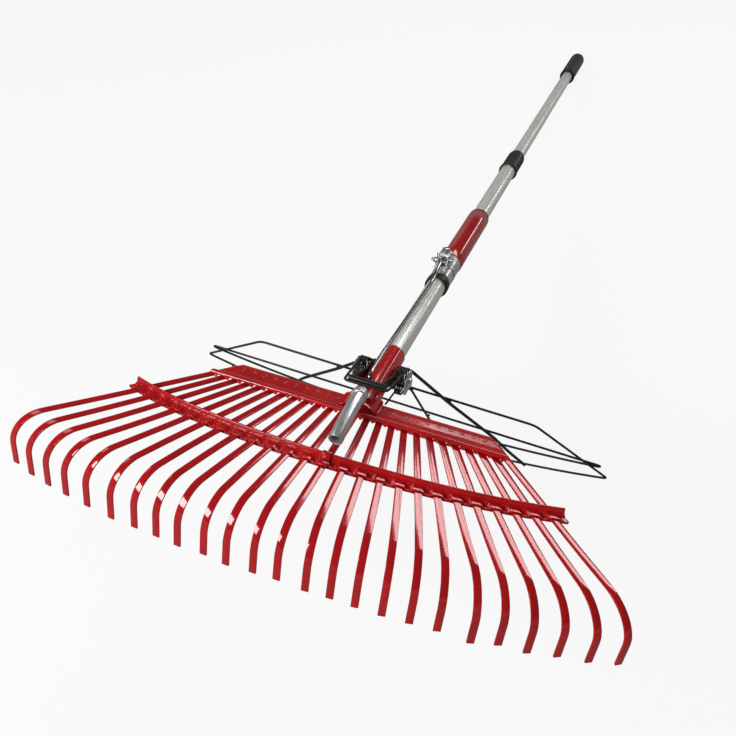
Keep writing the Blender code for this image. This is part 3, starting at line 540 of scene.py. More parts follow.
# Rear bar: a pressed steel plate over the rivets. A ridge stiffens its front
# edge, which then folds down between the tines and arches over each of them.
PLATE_MIDDLE = 1.95 * MM
PLATE_END = 12.1
PLATE_COLUMNS = 242
PLATE_FRONT = -14.0 * MM
PLATE_BACK = 9.0 * MM
PLATE_SHEET = 1.5 * MM
PLATE_LIP = -21 * MM
PLATE_FOLDS = ((0.9, 0.35), (1.9, 1.75), (1.2, 0.9), (0.7, 0.35), (1.5, 0.05), (0.8, -0.45),
               (0.5, -1.0), (0.3, -2.4), (0.1, -1.2), (0.1, -1.2))
LIP_FROM = 7
ARCH_TOP = 2.5 * MM
ARCH_HALF = 0.33
ARCH_SIDE = 0.04
BAR_RED = (0.56, 0.0085, 0.0100)
BAR_DEEP = (0.46, 0.007, 0.0085)


def smooth_step(value):
    value = min(max(value, 0.0), 1.0)
    return value * value * (3 - 2 * value)


def off_tine(k):
    """How far k lies from the nearest tine, in tine pitches."""
    return abs(k - max(-SIDE_TINES, min(SIDE_TINES, round(k))))


def arch_over(k, half, side):
    """1 over a tine and 0 between two, with sides that take up a part of a pitch."""
    return 1 - smooth_step((off_tine(k) - half) / side)


def flat_sheet(name, columns, rows, centre, width, depth):
    """A flat sheet divided into columns and rows, to be folded or bent."""
    deselect()
    bpy.ops.mesh.primitive_grid_add(x_subdivisions=columns, y_subdivisions=rows, size=1,
                                    location=centre)
    bpy.context.object.scale = (width, depth, 1)
    return new_piece(name)


def fold(piece, axis, side, folds):
    """Draw out a sheet's straight edge, fold by fold: so far out and so far up."""
    edge = max(side * vertex.co[axis] for vertex in piece.data.vertices)
    edit(piece)
    pick("EDGE", lambda at: side * at[axis] > edge - MERGED)
    for reach, rise in folds:
        move = [0, 0, rise * MM]
        move[axis] = side * reach * MM
        draw_out(*move)
    leave()


def bend_to(piece, place):
    """Lay a straight piece onto a curved place, vertex by vertex."""
    for vertex in piece.data.vertices:
        vertex.co = place(vertex.co)


def give_wall(piece, thickness, offset=0):
    apply_modifier(piece, "SOLIDIFY", thickness=thickness, offset=offset)


def arched(at):
    """Shorten the lip over the tines."""
    if at.y < PLATE_LIP and at.z < lip_top - NEAR:
        arch = arch_over(at.x / RIVET_PITCH, ARCH_HALF, ARCH_SIDE)
        foot = lip_foot + (ARCH_TOP - lip_foot) * arch
        at.z = lip_top + (foot - lip_top) * (lip_top - at.z) / (lip_top - lip_foot)
    return at


def fan_out(at):
    """Open the plate along the tines; its ends stay a little inside the last ones."""
    along = tine_direction(at.x / RIVET_PITCH)
    trim = 1 + min(at.y, 0) * smooth_step(abs(at.x) / RIVET_PITCH - SIDE_TINES + 1)
    return Vector((at.x * trim - at.y * along.x / -along.y, at.y, at.z))


rear_bar = flat_sheet("rear_bar_plate", PLATE_COLUMNS, 3,
                      (0, (PLATE_FRONT + PLATE_BACK) / 2, PLATE_MIDDLE),
                      2 * PLATE_END * RIVET_PITCH, PLATE_BACK - PLATE_FRONT)
fold(rear_bar, 1, -1, PLATE_FOLDS)
lip_top = PLATE_MIDDLE + sum(rise for reach, rise in PLATE_FOLDS[:LIP_FROM]) * MM
lip_foot = PLATE_MIDDLE + sum(rise for reach, rise in PLATE_FOLDS) * MM
bend_to(rear_bar, lambda at: fan_out(arched(at)))
give_wall(rear_bar, PLATE_SHEET)
soften(rear_bar)
bar_finish = red_coat("bar_powder_coat", BAR_RED, BAR_DEEP, 420, 0.12)
settle(rear_bar, bar_finish)
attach(rear_bar, "head")
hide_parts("rear_bar")


# Front bar: a pressed angle bowed along the fan. Its lip is corrugated over the
# tines, its web has a groove near the top, and its top edge is turned back.
FRONT_END = 12.75
FRONT_COLUMNS = 255
FRONT_EDGE = 0.7 * MM
FRONT_SHEET = 1.4 * MM
FRONT_ROUNDED = 0.28 * MM
LIP_CREST = 1.9 * MM
LIP_TROUGH = -0.6 * MM
LIP_LEVEL = 6.3 * MM
LIP_DEPTH = 8.6 * MM
CREST_HALF = 0.24
CREST_SIDE = 0.16
WEB_FOLDS = ((1.5, 0.0), (3.4, 0.0), (1.3, 0.0), (1.2, 0.0), (0.8, 0.05), (0.35, 0.35),
             (0.1, 0.8), (0.05, 1.3), (0.1, 1.1), (0.35, 0.6), (0.2, 0.5), (-0.15, 0.5),
             (-0.15, 0.35), (0.1, 0.3), (0.4, 0.25), (0.6, 0.0))
FRONT_SLIP = 3.5 * MM


def front_line(k, depth):
    """Where the bar lies on the fan: its right end has slipped down the tines."""
    slip = FRONT_SLIP * (max(k, 0) / SIDE_TINES) ** 4
    return tine_guide(k) + tine_direction(k) * (slip - depth)


def front_place(at):
    """From the straight bar (tine, depth, height) to its place on the fan."""
    hollow = (LIP_TROUGH - LIP_CREST) * (1 - arch_over(at.x, CREST_HALF, CREST_SIDE))
    fade = 1 - smooth_step((at.y - LIP_LEVEL) / (LIP_DEPTH - LIP_LEVEL))
    return front_line(at.x, at.y) + Vector((0, 0, at.z + hollow * fade))


front_bar = flat_sheet("front_bar_angle", FRONT_COLUMNS, 1, (0, FRONT_EDGE / 2, LIP_CREST),
                       2 * FRONT_END, FRONT_EDGE)
fold(front_bar, 1, 1, WEB_FOLDS)
edit(front_bar)
bpy.ops.mesh.select_all(action="SELECT")
bpy.ops.mesh.flip_normals()
leave()
bend_to(front_bar, front_place)
give_wall(front_bar, FRONT_SHEET)
soften(front_bar, FRONT_ROUNDED)
settle(front_bar, bar_finish)
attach(front_bar, "head")
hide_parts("front_bar")


# Front strip: a flat strip spot-welded under the front bar, which closes its
# arches from below.
UNDER_HEIGHT = -2.8 * MM
UNDER_MIDDLE = 3.9 * MM
UNDER_DEPTH = 7.0 * MM
UNDER_SHEET = 1.2 * MM

front_strip = flat_sheet("front_bar_under_strip", 100, 4, (0, UNDER_MIDDLE, UNDER_HEIGHT),
                         2 * FRONT_END, UNDER_DEPTH)
bend_to(front_strip, lambda at: front_line(at.x, at.y) + Vector((0, 0, at.z)))
give_wall(front_strip, UNDER_SHEET)
soften(front_strip)
settle(front_strip, bar_finish)
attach(front_strip, "head")
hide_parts("front_bar_strip")


# Splice: a bent clip over the joint of the front bar's two halves, hooked over
# the lip and over the web's top edge.
SPLICE_SPOT = Vector((0, -115.3, 1.6)) * MM
SPLICE_WIDTH = 9.0 * MM
SPLICE_START = 0.01 * MM
SPLICE_SHEET = 1.1 * MM
SPLICE_FOLDS = ((0, 1.4), (0.8, 0.75), (2.0, 0.05), (3.5, 0.0), (2.2, 0.0), (0.85, 0.5),
                (0.1, 1.6), (0.0, 2.4), (0.1, 1.0), (0.8, 0.6), (2.9, 0.0), (0.85, -0.75),
                (0.1, -2.4), (0.0, -3.6))

splice = flat_sheet("front_bar_splice", 2, 1, SPLICE_SPOT, SPLICE_WIDTH, SPLICE_START)
fold(splice, 1, 1, SPLICE_FOLDS)
face_out(splice)
give_wall(splice, SPLICE_SHEET)
soften(splice)
settle(splice, bar_finish)
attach(splice, "head")
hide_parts("bar_splice")


# Socket: steel sheet rolled round the pole, which opens into a skirt that is
# welded to the rear bar's plate. It has the bars' red coat.
SOCKET_SHEET = 1.4 * MM
SOCKET_EDGE = 0.35 * MM
SOCKET_MIDDLE = 13.7 * MM
SOCKET_TOP = 115 * MM
SOCKET_WRAP = math.radians(177)
SOCKET_RED = (0.62, 0.011, 0.012)
SKIRT_FROM = 50 * MM
SKIRT_FLAT = 8 * MM
SKIRT_FRONT = -13 * MM
SKIRT_HALF = 17 * MM
SKIRT_FOOT = 21.8 * MM
SKIRT_FLOOR = 3.7 * MM
SKIRT_CROWN = 8.5 * MM
SKIRT_SHOULDER = 0.7
AXIS_START = -1.7 * MM


def axis_point(y):
    """The point of the pole's axis at one Y."""
    return Vector((0, y, AXIS_START + POLE_SLOPE * y))


def socket_place(at):
    """From the flat sheet (turn from -1 to 1, distance up the pole) to its shape."""
    turn, y = at.x, at.y
    angle = turn * SOCKET_WRAP
    rolled = axis_point(y) + Vector((math.sin(angle), 0, math.cos(angle))) * SOCKET_MIDDLE
    out = max(abs(turn) - SKIRT_SHOULDER, 0) / (1 - SKIRT_SHOULDER)
    sweep = min(abs(turn) / SKIRT_SHOULDER, 1) * QUARTER
    half = SKIRT_HALF * math.sin(sweep) + out * (SKIRT_FOOT - SKIRT_HALF)
    skirt = Vector((math.copysign(half, turn), y, SKIRT_FLOOR + SKIRT_CROWN * math.cos(sweep)))
    return rolled.lerp(skirt, smooth_step((SKIRT_FROM - y) / (SKIRT_FROM - SKIRT_FLAT)))


socket = flat_sheet("socket_and_skirt", 80, 46, (0, (SOCKET_TOP + SKIRT_FRONT) / 2, 0), 2,
                    SOCKET_TOP - SKIRT_FRONT)
bend_to(socket, socket_place)
give_wall(socket, SOCKET_SHEET)
soften(socket, SOCKET_EDGE)
settle(socket, red_coat("socket_powder_coat", SOCKET_RED, BAR_RED, 380, 0.08))
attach(socket, "head")
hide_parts("head_socket")


# Pole: two welded steel tubes, one inside the other, zinc plated and drawn, so
# that fine streaks run along them. The outer one ends in the socket.
OUTER_START = 52 * MM
OUTER_TUBE = ((12.2, 0), (12.6, 0.15), (12.7, 0.6), (12.7, 200), (12.7, 400), (12.7, 600),
              (12.7, 781.0), (12.6, 781.5), (12.2, 781.7), (11.6, 781.5), (11.5, 781.0),
              (11.5, 0.6), (11.6, 0.15), (12.2, 0))
INNER_START = 655 * MM
INNER_TUBE = ((10.6, 0), (11.0, 0.15), (11.1, 0.5), (11.1, 300), (11.1, 600), (11.1, 960.2),
              (11.0, 960.6), (10.6, 960.8), (10.2, 960.6), (10.1, 960.2), (10.1, 0.5),
              (10.2, 0.15), (10.6, 0))
TUBE_SIDES = 72
TUBE_DARK = (0.74, 0.74, 0.67)
TUBE_LIGHT = (0.88, 0.88, 0.81)
TUBE_HAZE = (0.90, 0.91, 0.87)


def pole_place(y):
    """A frame on the pole's axis whose Z points up the pole."""
    return Matrix.Translation(axis_point(y)) @ Matrix.Rotation(lean - QUARTER, 4, "X")


along_pole = (HEAD @ pole_place(0)).to_3x3().inverted().to_euler()
tube_finish = Finish("drawn_tube_steel")
streak = tube_finish.grain(1, 3, (520, 520, 9), along_pole)
haze = tube_finish.grain(34, 3)
rub = tube_finish.step(tube_finish.grain(1, 2, (900, 900, 60), along_pole), 0.62, 0.7)
tube_tone = tube_finish.mix(tube_finish.step(streak, 0.3, 0.7), TUBE_DARK, TUBE_LIGHT)
tube_finish.give("Base Color", tube_finish.mix(0.4 * haze, tube_tone, TUBE_HAZE))
tube_finish.give("Metallic", 0.34 + 0.15 * haze)
tube_finish.give("Roughness", 0.20 + 0.10 * streak + 0.10 * haze + 0.08 * rub)
tube_finish.relief(streak + 0.6 * rub, 0.012 * MM)

for name, outline, start, body, node in (
        ("pole_outer_tube", OUTER_TUBE, OUTER_START, "head", "lower_tube"),
        ("pole_inner_tube", INNER_TUBE, INNER_START, "upper_pole", "upper_tube")):
    tube = turned_piece(name, outline, TUBE_SIDES)
    settle(tube, tube_finish.material, pole_place(start), 32)
    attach(tube, body)
    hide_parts(node)


# Stub tube: a short zinc plated tube, slightly bent, that leads forward from
# the yoke over the middle tine, with a collar round its rear end.
STUB_REAR = Vector((0, -6.0, 21.6)) * MM
STUB_FRONT = Vector((0, -81.1, 9.6)) * MM
STUB_RISE = 2.9 * MM
STUB_RINGS = 16
STUB_RADIUS = 7.9 * MM
STUB_SHEET = 1.2 * MM
ZINC_DARK = (0.66, 0.68, 0.70)
ZINC_LIGHT = (0.82, 0.84, 0.84)
ZINC_SPANGLE = (0.88, 0.86, 0.78)


def zinc_plate():
    """Bright zinc: faint spangle, smeared darker in places, with short scuffs."""
    zinc = Finish("bright_zinc")
    spangle = zinc.grain(160, 3)
    smear = zinc.grain(40)
    scuff = zinc.step(zinc.grain(1, 2, (260, 1500, 260)), 0.64, 0.72)
    tone = zinc.mix(zinc.step(smear, 0.35, 0.65), ZINC_DARK, ZINC_LIGHT)
    zinc.give("Base Color", zinc.mix(0.3 * spangle, tone, ZINC_SPANGLE))
    zinc.give("Metallic", 0.78 - 0.1 * scuff)
    zinc.give("Roughness", 0.22 + 0.10 * spangle + 0.12 * scuff + 0.06 * smear)
    zinc.relief(spangle + 0.4 * scuff, 0.0015 * MM)
    return zinc.material


def stub_centre(ring):
    share = ring / STUB_RINGS
    square = Vector((0, STUB_FRONT.z - STUB_REAR.z, STUB_REAR.y - STUB_FRONT.y)).normalized()
    return STUB_REAR.lerp(STUB_FRONT, share) + square * 4 * share * (1 - share) * STUB_RISE


def stub_place(at):
    """From the straight tube, with a ring at each millimetre, to the bent one."""
    ring = round(at.z / MM)
    ahead = stub_centre(min(ring + 1, STUB_RINGS)) - stub_centre(max(ring - 1, 0))
    square = ahead.normalized().cross(Vector((1, 0, 0)))
    return stub_centre(ring) + Vector((at.x, 0, 0)) + square * at.y


deselect()
bpy.ops.mesh.primitive_circle_add(vertices=48, radius=STUB_RADIUS)
stub = new_piece("stub_tube_bent")
edit(stub)
bpy.ops.mesh.select_all(action="SELECT")
for ring in range(STUB_RINGS):
    draw_out(0, 0, MM)
leave()
bend_to(stub, stub_place)
face_out(stub)
give_wall(stub, STUB_SHEET, -1)
soften(stub)
zinc_finish = zinc_plate()
settle(stub, zinc_finish)
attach(stub, "head")
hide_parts("stub_tube")


# Stub collar: a plain ring of zinc plated steel, pressed on the stub tube near
# its rear end.
STUB_COLLAR = ((7.95, 0), (8.6, 0), (8.9, 0.3), (8.9, 5.2), (8.6, 5.5), (7.95, 5.5), (7.95, 0))

stub_heading = stub_centre(1) - stub_centre(2)
collar_turn = Matrix.Rotation(math.atan2(stub_heading.z, stub_heading.y) - QUARTER, 4, "X")
stub_collar = turned_piece("stub_tube_collar", STUB_COLLAR, 48)
settle(stub_collar, zinc_finish, Matrix.Translation(stub_centre(2)) @ collar_turn)
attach(stub_collar, "head")
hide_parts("stub_collar")


# Twist lock: a black moulded collar with a flared foot, fine upright ribs round
# its barrel and a rounded top. Its cam sits inside the pole.
COLLAR_OUTLINE = ((13.05, 0), (15.4, 0), (15.9, 0.5), (16.0, 1.4), (16.0, 4.5), (15.8, 6.0),
                  (15.2, 8.5), (14.8, 11.0), (14.6, 12.5), (14.6, 72.0), (14.5, 74.5),
                  (14.1, 77.5), (13.4, 80.5), (12.6, 83.0), (11.9, 84.5), (11.4, 85.0),
                  (11.4, 63.0), (13.05, 62.8), (13.05, 0))
COLLAR_START = 772 * MM
COLLAR_SIDES = 84
COLLAR_RIBBED = (13 * MM, 71.5 * MM)
COLLAR_OUTSIDE = 14.3 * MM
COLLAR_RIB_GAP = 0.16 * MM
COLLAR_RIB_RISE = 0.35 * MM
DUST_GREY = (0.10, 0.10, 0.095)


def black_plastic(name, tone, gloss, pebble):
    """Moulded black plastic: fine pebble, a little dust in it, lighter in patches."""
    plastic = Finish(name, ("Specular IOR Level", 0.45))
    fine = plastic.grain(pebble)
    cloud = plastic.grain(60, 3)
    dust = plastic.step(plastic.grain(1400, 1), 0.68, 0.76)
    base = plastic.mix(cloud, (tone, tone, tone), (tone * 1.7, tone * 1.7, tone * 1.8))
    plastic.give("Base Color", plastic.mix(0.25 * dust, base, DUST_GREY))
    plastic.give("Roughness", gloss + 0.12 * fine + 0.10 * cloud + 0.15 * dust)
    plastic.relief(fine + 0.5 * dust, 0.025 * MM)
    return plastic.material


def every_other(at, sides):
    """Whether a point lies in every second column of a turned piece."""
    return int((math.atan2(at.y, at.x) / (2 * math.pi) + 1) * sides) % sides % 2 == 0


def raise_picked(rise, **inset):
    """Inset the picked faces, and raise what is left of them."""
    bpy.ops.mesh.inset(**inset)
    bpy.ops.mesh.extrude_region_shrink_fatten(TRANSFORM_OT_shrink_fatten={"value": rise})


collar = turned_piece("twist_lock_collar", COLLAR_OUTLINE, COLLAR_SIDES)
edit(collar)
pick("FACE", lambda at: COLLAR_RIBBED[0] < at.z < COLLAR_RIBBED[1]
     and math.hypot(at.x, at.y) > COLLAR_OUTSIDE and every_other(at, COLLAR_SIDES))
raise_picked(COLLAR_RIB_RISE, thickness=COLLAR_RIB_GAP, use_individual=True)
leave()
collar_finish = black_plastic("collar_black_plastic", 0.010, 0.30, 900)
settle(collar, collar_finish, pole_place(COLLAR_START), 40)
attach(collar, "collar")
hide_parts("lock_collar")

frame["nodes"]["lock_cam"].material_slots[0].material = collar_finish


# End grip: a black moulded cap pushed over the pole's end, with a rim at its
# open end, twisted ribs round it and a domed end.
GRIP_RIM = ((13.6, 5.0), (13.6, 0.3), (13.9, 0), (16.3, 0), (16.7, 0.4), (16.7, 2.6), (16.4, 3.4),
            (15.8, 4.6), (15.6, 6.0), (15.6, 8.5))
GRIP_RINGS = tuple((15.6, 8.5 + 7.6 * step) for step in range(1, 20))
GRIP_DOME = ((15.6, 156.0), (15.6, 161.0), (15.4, 165.0), (14.9, 168.6), (13.9, 172.2),
             (12.3, 175.3), (10.0, 177.6), (7.0, 179.0), (3.5, 179.6), (0.01, 179.7))
GRIP_START = 1442 * MM
GRIP_SIDES = 28
GRIP_RIBBED = (9 * MM, 172 * MM)
GRIP_RIB_GAP = 0.5 * MM
GRIP_RIB_RISE = 0.85 * MM
GRIP_TWISTED = (7 * MM, 173 * MM)
GRIP_TWIST = math.radians(1.05) / MM

grip = turned_piece("end_grip_ribbed", GRIP_RIM + GRIP_RINGS + GRIP_DOME, GRIP_SIDES)
edit(grip)
pick("FACE", lambda at: GRIP_RIBBED[0] < at.z < GRIP_RIBBED[1] and every_other(at, GRIP_SIDES))
raise_picked(GRIP_RIB_RISE, thickness=GRIP_RIB_GAP, use_boundary=True)
leave()
bend_to(grip, lambda at: Matrix.Rotation(GRIP_TWIST * (
    min(max(at.z, GRIP_TWISTED[0]), GRIP_TWISTED[1]) - GRIP_TWISTED[0]), 3, "Z") @ at)
soften(grip, 0.25 * MM, 2, 32)
settle(grip, black_plastic("grip_black_plastic", 0.010, 0.20, 700), pole_place(GRIP_START), 40)
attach(grip, "upper_pole")
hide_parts("end_grip")


# Slider: black moulded end rings, a plated band and a red coated steel sleeve
# that slide together on the pole.
SLIDER_START = 303 * MM
SLEEVE_RED = (0.48, 0.008, 0.011)
SLEEVE_DEEP = (0.42, 0.007, 0.010)
LOW_RING = ((13.05, 0.4), (13.4, 0), (15.0, 0), (15.6, 0.35), (15.9, 1.0), (15.9, 10.8),
            (15.5, 11.6), (15.5, 13.4), (15.1, 14.0), (13.05, 14.0), (13.05, 0.4))
GASKET = ((13.05, 36.75), (15.2, 36.75), (15.45, 37.1), (15.45, 38.5), (15.2, 38.85),
          (13.05, 38.85), (13.05, 36.75))
BAND = ((13.05, 39.0), (15.0, 39.0), (15.35, 39.3), (15.4, 39.9), (15.4, 41.0), (14.8, 41.8),
        (14.8, 47.0), (15.1, 47.8), (15.1, 66.5), (14.8, 67.3), (14.8, 72.5), (15.4, 73.3),
        (15.4, 74.9), (15.0, 75.5), (13.05, 75.5), (13.05, 39.0))
SLEEVE = ((13.05, 76.0), (15.4, 76.0), (15.95, 76.3), (16.2, 76.9), (16.2, 110.0), (16.2, 160.0),
          (16.2, 210.0), (16.2, 245.0), (15.95, 245.6), (15.4, 245.9), (13.05, 245.9),
          (13.05, 76.0))
HIGH_RING = ((13.05, 246.3), (15.2, 246.3), (15.7, 246.7), (15.8, 247.4), (15.8, 249.6),
             (15.5, 250.4), (14.9, 250.9), (13.05, 250.9), (13.05, 246.3))

ring_finish = black_plastic("ring_black_plastic", 0.012, 0.28, 800)
sleeve_finish = red_coat("sleeve_powder_coat", SLEEVE_RED, SLEEVE_DEEP, 300, 0.09)
for name, outline, sides, finish, slot, nodes in (
        ("slider_low_ring", LOW_RING, 64, ring_finish, "ring_plastic", ["slider_end_ring"]),
        ("slider_gasket", GASKET, 64, ring_finish, "ring_plastic", []),
        ("slider_band", BAND, 64, zinc_finish, "clamp_zinc", ["clamp_band"]),
        ("slider_red_sleeve", SLEEVE, 72, sleeve_finish, "sleeve_paint", ["grip_sleeve"]),
        ("slider_high_ring", HIGH_RING, 64, ring_finish, "ring_plastic", ["sleeve_end_ring"])):
    piece = turned_piece(name, outline, sides)
    settle(piece, finish, pole_place(SLIDER_START), 35)
    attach(piece, "sleeve")
    if nodes:
        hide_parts(*nodes)


# Rod clamp: a plated steel ring with an upturned channel welded on top, open at
# both ends, where the pull rod's eye is pinned.
CLAMP_RING = ((13.05, 14.5), (14.9, 14.5), (15.2, 14.8), (15.2, 36.2), (14.9, 36.5),
              (13.05, 36.5), (13.05, 14.5))
CHANNEL_TOP = Vector((0, 328.5, 44.2)) * MM
CHANNEL_WIDTH = 10.6 * MM
CHANNEL_LENGTH = 21.8 * MM
CHANNEL_SHEET = 1.5 * MM
CHANNEL_FOLDS = ((0.75, -0.12), (0.45, -0.35), (0.25, -0.6), (0.05, -0.8), (0, -10), (0, -10),
                 (0, -6.5), (0, -5.5))
PIN_SPOT = Vector((0, 325.0, 33.0)) * MM
PIN_HOLE = 2.9 * MM
POLE_HOLE = 13.2 * MM
BORE_LENGTH = 60 * MM


def cross_place(spot):
    """A frame at a spot whose Z runs across the head, for pins and bolts."""
    return Matrix.Translation(spot) @ Matrix.Rotation(QUARTER, 4, "Y")


def bore(piece, sides, radius, spot, turn=(0, 0, 0), depth=BORE_LENGTH):
    """Cut a straight hole through a piece, round or with a few sides."""
    deselect()
    bpy.ops.mesh.primitive_cylinder_add(vertices=sides, radius=radius, depth=depth,
                                        location=spot, rotation=turn)
    cutter = bpy.context.object
    apply_modifier(piece, "BOOLEAN", object=cutter, operation="DIFFERENCE", solver="EXACT")
    bpy.data.objects.remove(cutter, do_unlink=True)


clamp_ring = turned_piece("clamp_ring", CLAMP_RING, 64)
clamp_ring.data.transform(pole_place(SLIDER_START))
channel = flat_sheet("rod_clamp_channel", 4, 6, CHANNEL_TOP, CHANNEL_WIDTH, CHANNEL_LENGTH)
for side in (-1, 1):
    fold(channel, 0, side, CHANNEL_FOLDS)
face_out(channel)
give_wall(channel, CHANNEL_SHEET)
bore(channel, 24, PIN_HOLE, PIN_SPOT, (0, QUARTER, 0))
bore(channel, 64, POLE_HOLE, axis_point(CHANNEL_TOP.y), (lean - QUARTER, 0, 0))
soften(channel)
join(channel, clamp_ring)
settle(channel, zinc_finish, angle=40)
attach(channel, "sleeve")
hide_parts("rod_clamp")


# Clamp fasteners: a socket-head screw across the channel, which carries the
# rod's eye, and a square-headed set screw in the channel's top.
PIN_HEAD = ((0.01, 11.8), (3.9, 11.8), (4.4, 11.5), (4.6, 10.9), (4.6, 8.1), (4.4, 7.9),
            (2.5, 7.9), (2.5, -8.0))
PIN_THREAD = tuple((2.5 - 0.28 * (step % 2), -8.0 - 0.42 * step) for step in range(1, 20))
PIN_END = ((2.0, -16.4), (0.01, -16.6))
PIN_SOCKET = 2.3 * MM
PIN_SOCKET_SPOT = (0, 0, 11.8 * MM)
PIN_SOCKET_DEPTH = 5 * MM
SCREW_OUTLINE = ((0.01, 49.9), (3.6, 49.9), (4.6, 49.6), (5.3, 49.0), (5.4, 48.6), (5.4, 45.6),
                 (5.2, 45.35), (2.0, 45.3), (2.0, 41.0), (1.6, 40.9), (0.01, 40.9))
SCREW_SPOT = Vector((0, 333, 0)) * MM
BRIGHT_DARK = (0.58, 0.58, 0.57)
BRIGHT_LIGHT = (0.72, 0.72, 0.70)

bright_finish = Finish("bright_steel")
ripple = bright_finish.grain(220, 3)
film = bright_finish.grain(50)
bright_finish.give("Base Color", bright_finish.mix(film, BRIGHT_DARK, BRIGHT_LIGHT))
bright_finish.give("Metallic", 0.92 + 0.08 * film)
bright_finish.give("Roughness", 0.14 + 0.12 * ripple + 0.06 * film)
bright_finish.relief(ripple, 0.004 * MM)

clamp_pin = turned_piece("clamp_cross_screw", PIN_HEAD + PIN_THREAD + PIN_END, 32)
bore(clamp_pin, 6, PIN_SOCKET, PIN_SOCKET_SPOT, depth=PIN_SOCKET_DEPTH)
settle(clamp_pin, zinc_finish, cross_place(PIN_SPOT), 35)
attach(clamp_pin, "sleeve")
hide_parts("clamp_pin")

set_screw = turned_piece("clamp_set_screw", SCREW_OUTLINE, 4)
soften(set_screw, 0.35 * MM, 3)
settle(set_screw, bright_finish.material, Matrix.Translation(SCREW_SPOT), 35)
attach(set_screw, "sleeve")
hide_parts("set_screw")


# Wing nut: a pressed hub with two ears, of bright steel. It turns freely on the
# cross screw's thread.
WING_HUB = ((2.7, -7.95), (4.3, -7.95), (4.6, -8.25), (4.6, -9.5), (4.2, -11.2), (3.6, -12.6),
            (3.1, -12.9), (2.7, -12.9), (2.7, -7.95))
EAR_SPOT = Vector((0, 4.0, -10.2)) * MM
EAR_SIZE = Vector((1.7, 1.6, 3.4)) * MM
EAR_STEPS = ((2.0, -0.6, 1.2), (1.9, -0.9, 1.12), (1.2, -0.4, 0.72))
EAR_NARROWER = 0.94
EAR_TURNS = (245, 65)

wing_nut = turned_piece("wing_nut_pressed", WING_HUB, 40)
ears = []
for degrees in EAR_TURNS:
    ear = block("wing_nut_ear", EAR_SPOT, EAR_SIZE)
    edit(ear)
    pick("FACE", lambda at: at.y > EAR_SPOT.y + EAR_SIZE.y / 2 - NEAR)
    for reach, drop, size in EAR_STEPS:
        draw_out(0, reach * MM, drop * MM)
        bpy.ops.transform.resize(value=(EAR_NARROWER, 1, size))
    leave()
    soften(ear, 0.6 * MM, 3, 30)
    ear.data.transform(Matrix.Rotation(math.radians(degrees), 4, "Z"))
    ears.append(ear)
join(wing_nut, *ears)
settle(wing_nut, bright_finish.material, cross_place(PIN_SPOT), 35)
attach(wing_nut, "wing")
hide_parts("wing_nut")


# Pull rod: a plated round rod with an eye on the cross screw and a hook under
# the yoke's crossbar. It lies along the pole and pulls the jaw down.
ROD_RADIUS = 2.3 * MM
EYE_RADIUS = 5.8 * MM
EYE_ARC = (-150, 78, 26)
HOOK_RADIUS = 6.5 * MM
HOOK_ARC = (-8, -116, 13)
CROSSBAR_SPOT = Vector((0, 12.0, 24.0)) * MM
SHANK = ((308, 38.2), (292, 34.6), (278, 29.8), (264, 27.2), (230, 28.2), (160, 30.4), (95, 32.2),
         (60, 31.2), (34, 30.2), (24.4, 29.4), (21.0, 28.2), (19.2, 26.0))
ROD_DARK = (0.26, 0.26, 0.26)
ROD_LIGHT = (0.40, 0.40, 0.39)


def arc(spot, radius, first, last, steps):
    """Points of an arc in the head's middle plane, angles in degrees from Y."""
    angles = [math.radians(first + (last - first) * step / steps) for step in range(steps + 1)]
    return [spot + Vector((0, math.cos(angle), math.sin(angle))) * radius for angle in angles]


def smooth_line(points, steps):
    """A line that runs smoothly through its points."""
    line = []
    ends = [points[0]] + points + [points[-1]]
    for before, start, stop, after in zip(ends, ends[1:], ends[2:], ends[3:]):
        for step in range(steps):
            t = step / steps
            line.append(0.5 * (2 * start + (stop - before) * t
                               + (2 * before - 5 * start + 4 * stop - after) * t ** 2
                               + (3 * start - before - 3 * stop + after) * t ** 3))
    return line + [points[-1]]


def wire_piece(name, line, radius, closed=False, fineness=4):
    """A round wire along a line: a path curve with a round section, made a mesh."""
    deselect()
    bpy.ops.curve.primitive_nurbs_path_add()
    piece = new_piece(name)
    curve = piece.data
    curve.splines.clear()
    spline = curve.splines.new("POLY")
    spline.points.add(len(line) - 1)
    for place, point in zip(spline.points, line):
        place.co = (*point, 1)
    spline.use_cyclic_u = closed
    curve.bevel_depth = radius
    curve.bevel_resolution = fineness
    curve.use_fill_caps = not closed
    bpy.ops.object.convert(target="MESH")
    face_out(piece)
    return piece


rod_line = (arc(PIN_SPOT, EYE_RADIUS, *EYE_ARC)
            + smooth_line([Vector((0, y, z)) * MM for y, z in SHANK], 5)
            + arc(CROSSBAR_SPOT, HOOK_RADIUS, *HOOK_ARC))
pull_rod = wire_piece("pull_rod_bent", rod_line, ROD_RADIUS, fineness=6)
soften(pull_rod, 0.5 * MM, 3, 60)
rod_finish = Finish("dark_bright_steel")
rod_film = rod_finish.grain(60, 3)
rod_scratch = rod_finish.grain(1, 2, (900, 40, 900))
rod_finish.give("Base Color", rod_finish.mix(rod_film, ROD_DARK, ROD_LIGHT))
rod_finish.give("Metallic", 0.9 + 0.1 * rod_film)
rod_finish.give("Roughness", 0.10 + 0.08 * rod_film + 0.10 * rod_scratch)
rod_finish.relief(rod_scratch, 0.004 * MM)
settle(pull_rod, rod_finish.material)
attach(pull_rod, "rod")
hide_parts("pull_rod")


# Yoke: two flat black steel arms with a boss at the pivot, joined in front by a
# round crossbar that the pull rod hooks.
ARM_MIDDLE = 16.2
ARM_SHEET = 2.0 * MM
ARM_CORNER = 3.4 * MM
ARM_EDGE = 0.4 * MM
ARM_ENDS = (14.0 * MM, 96.5 * MM)
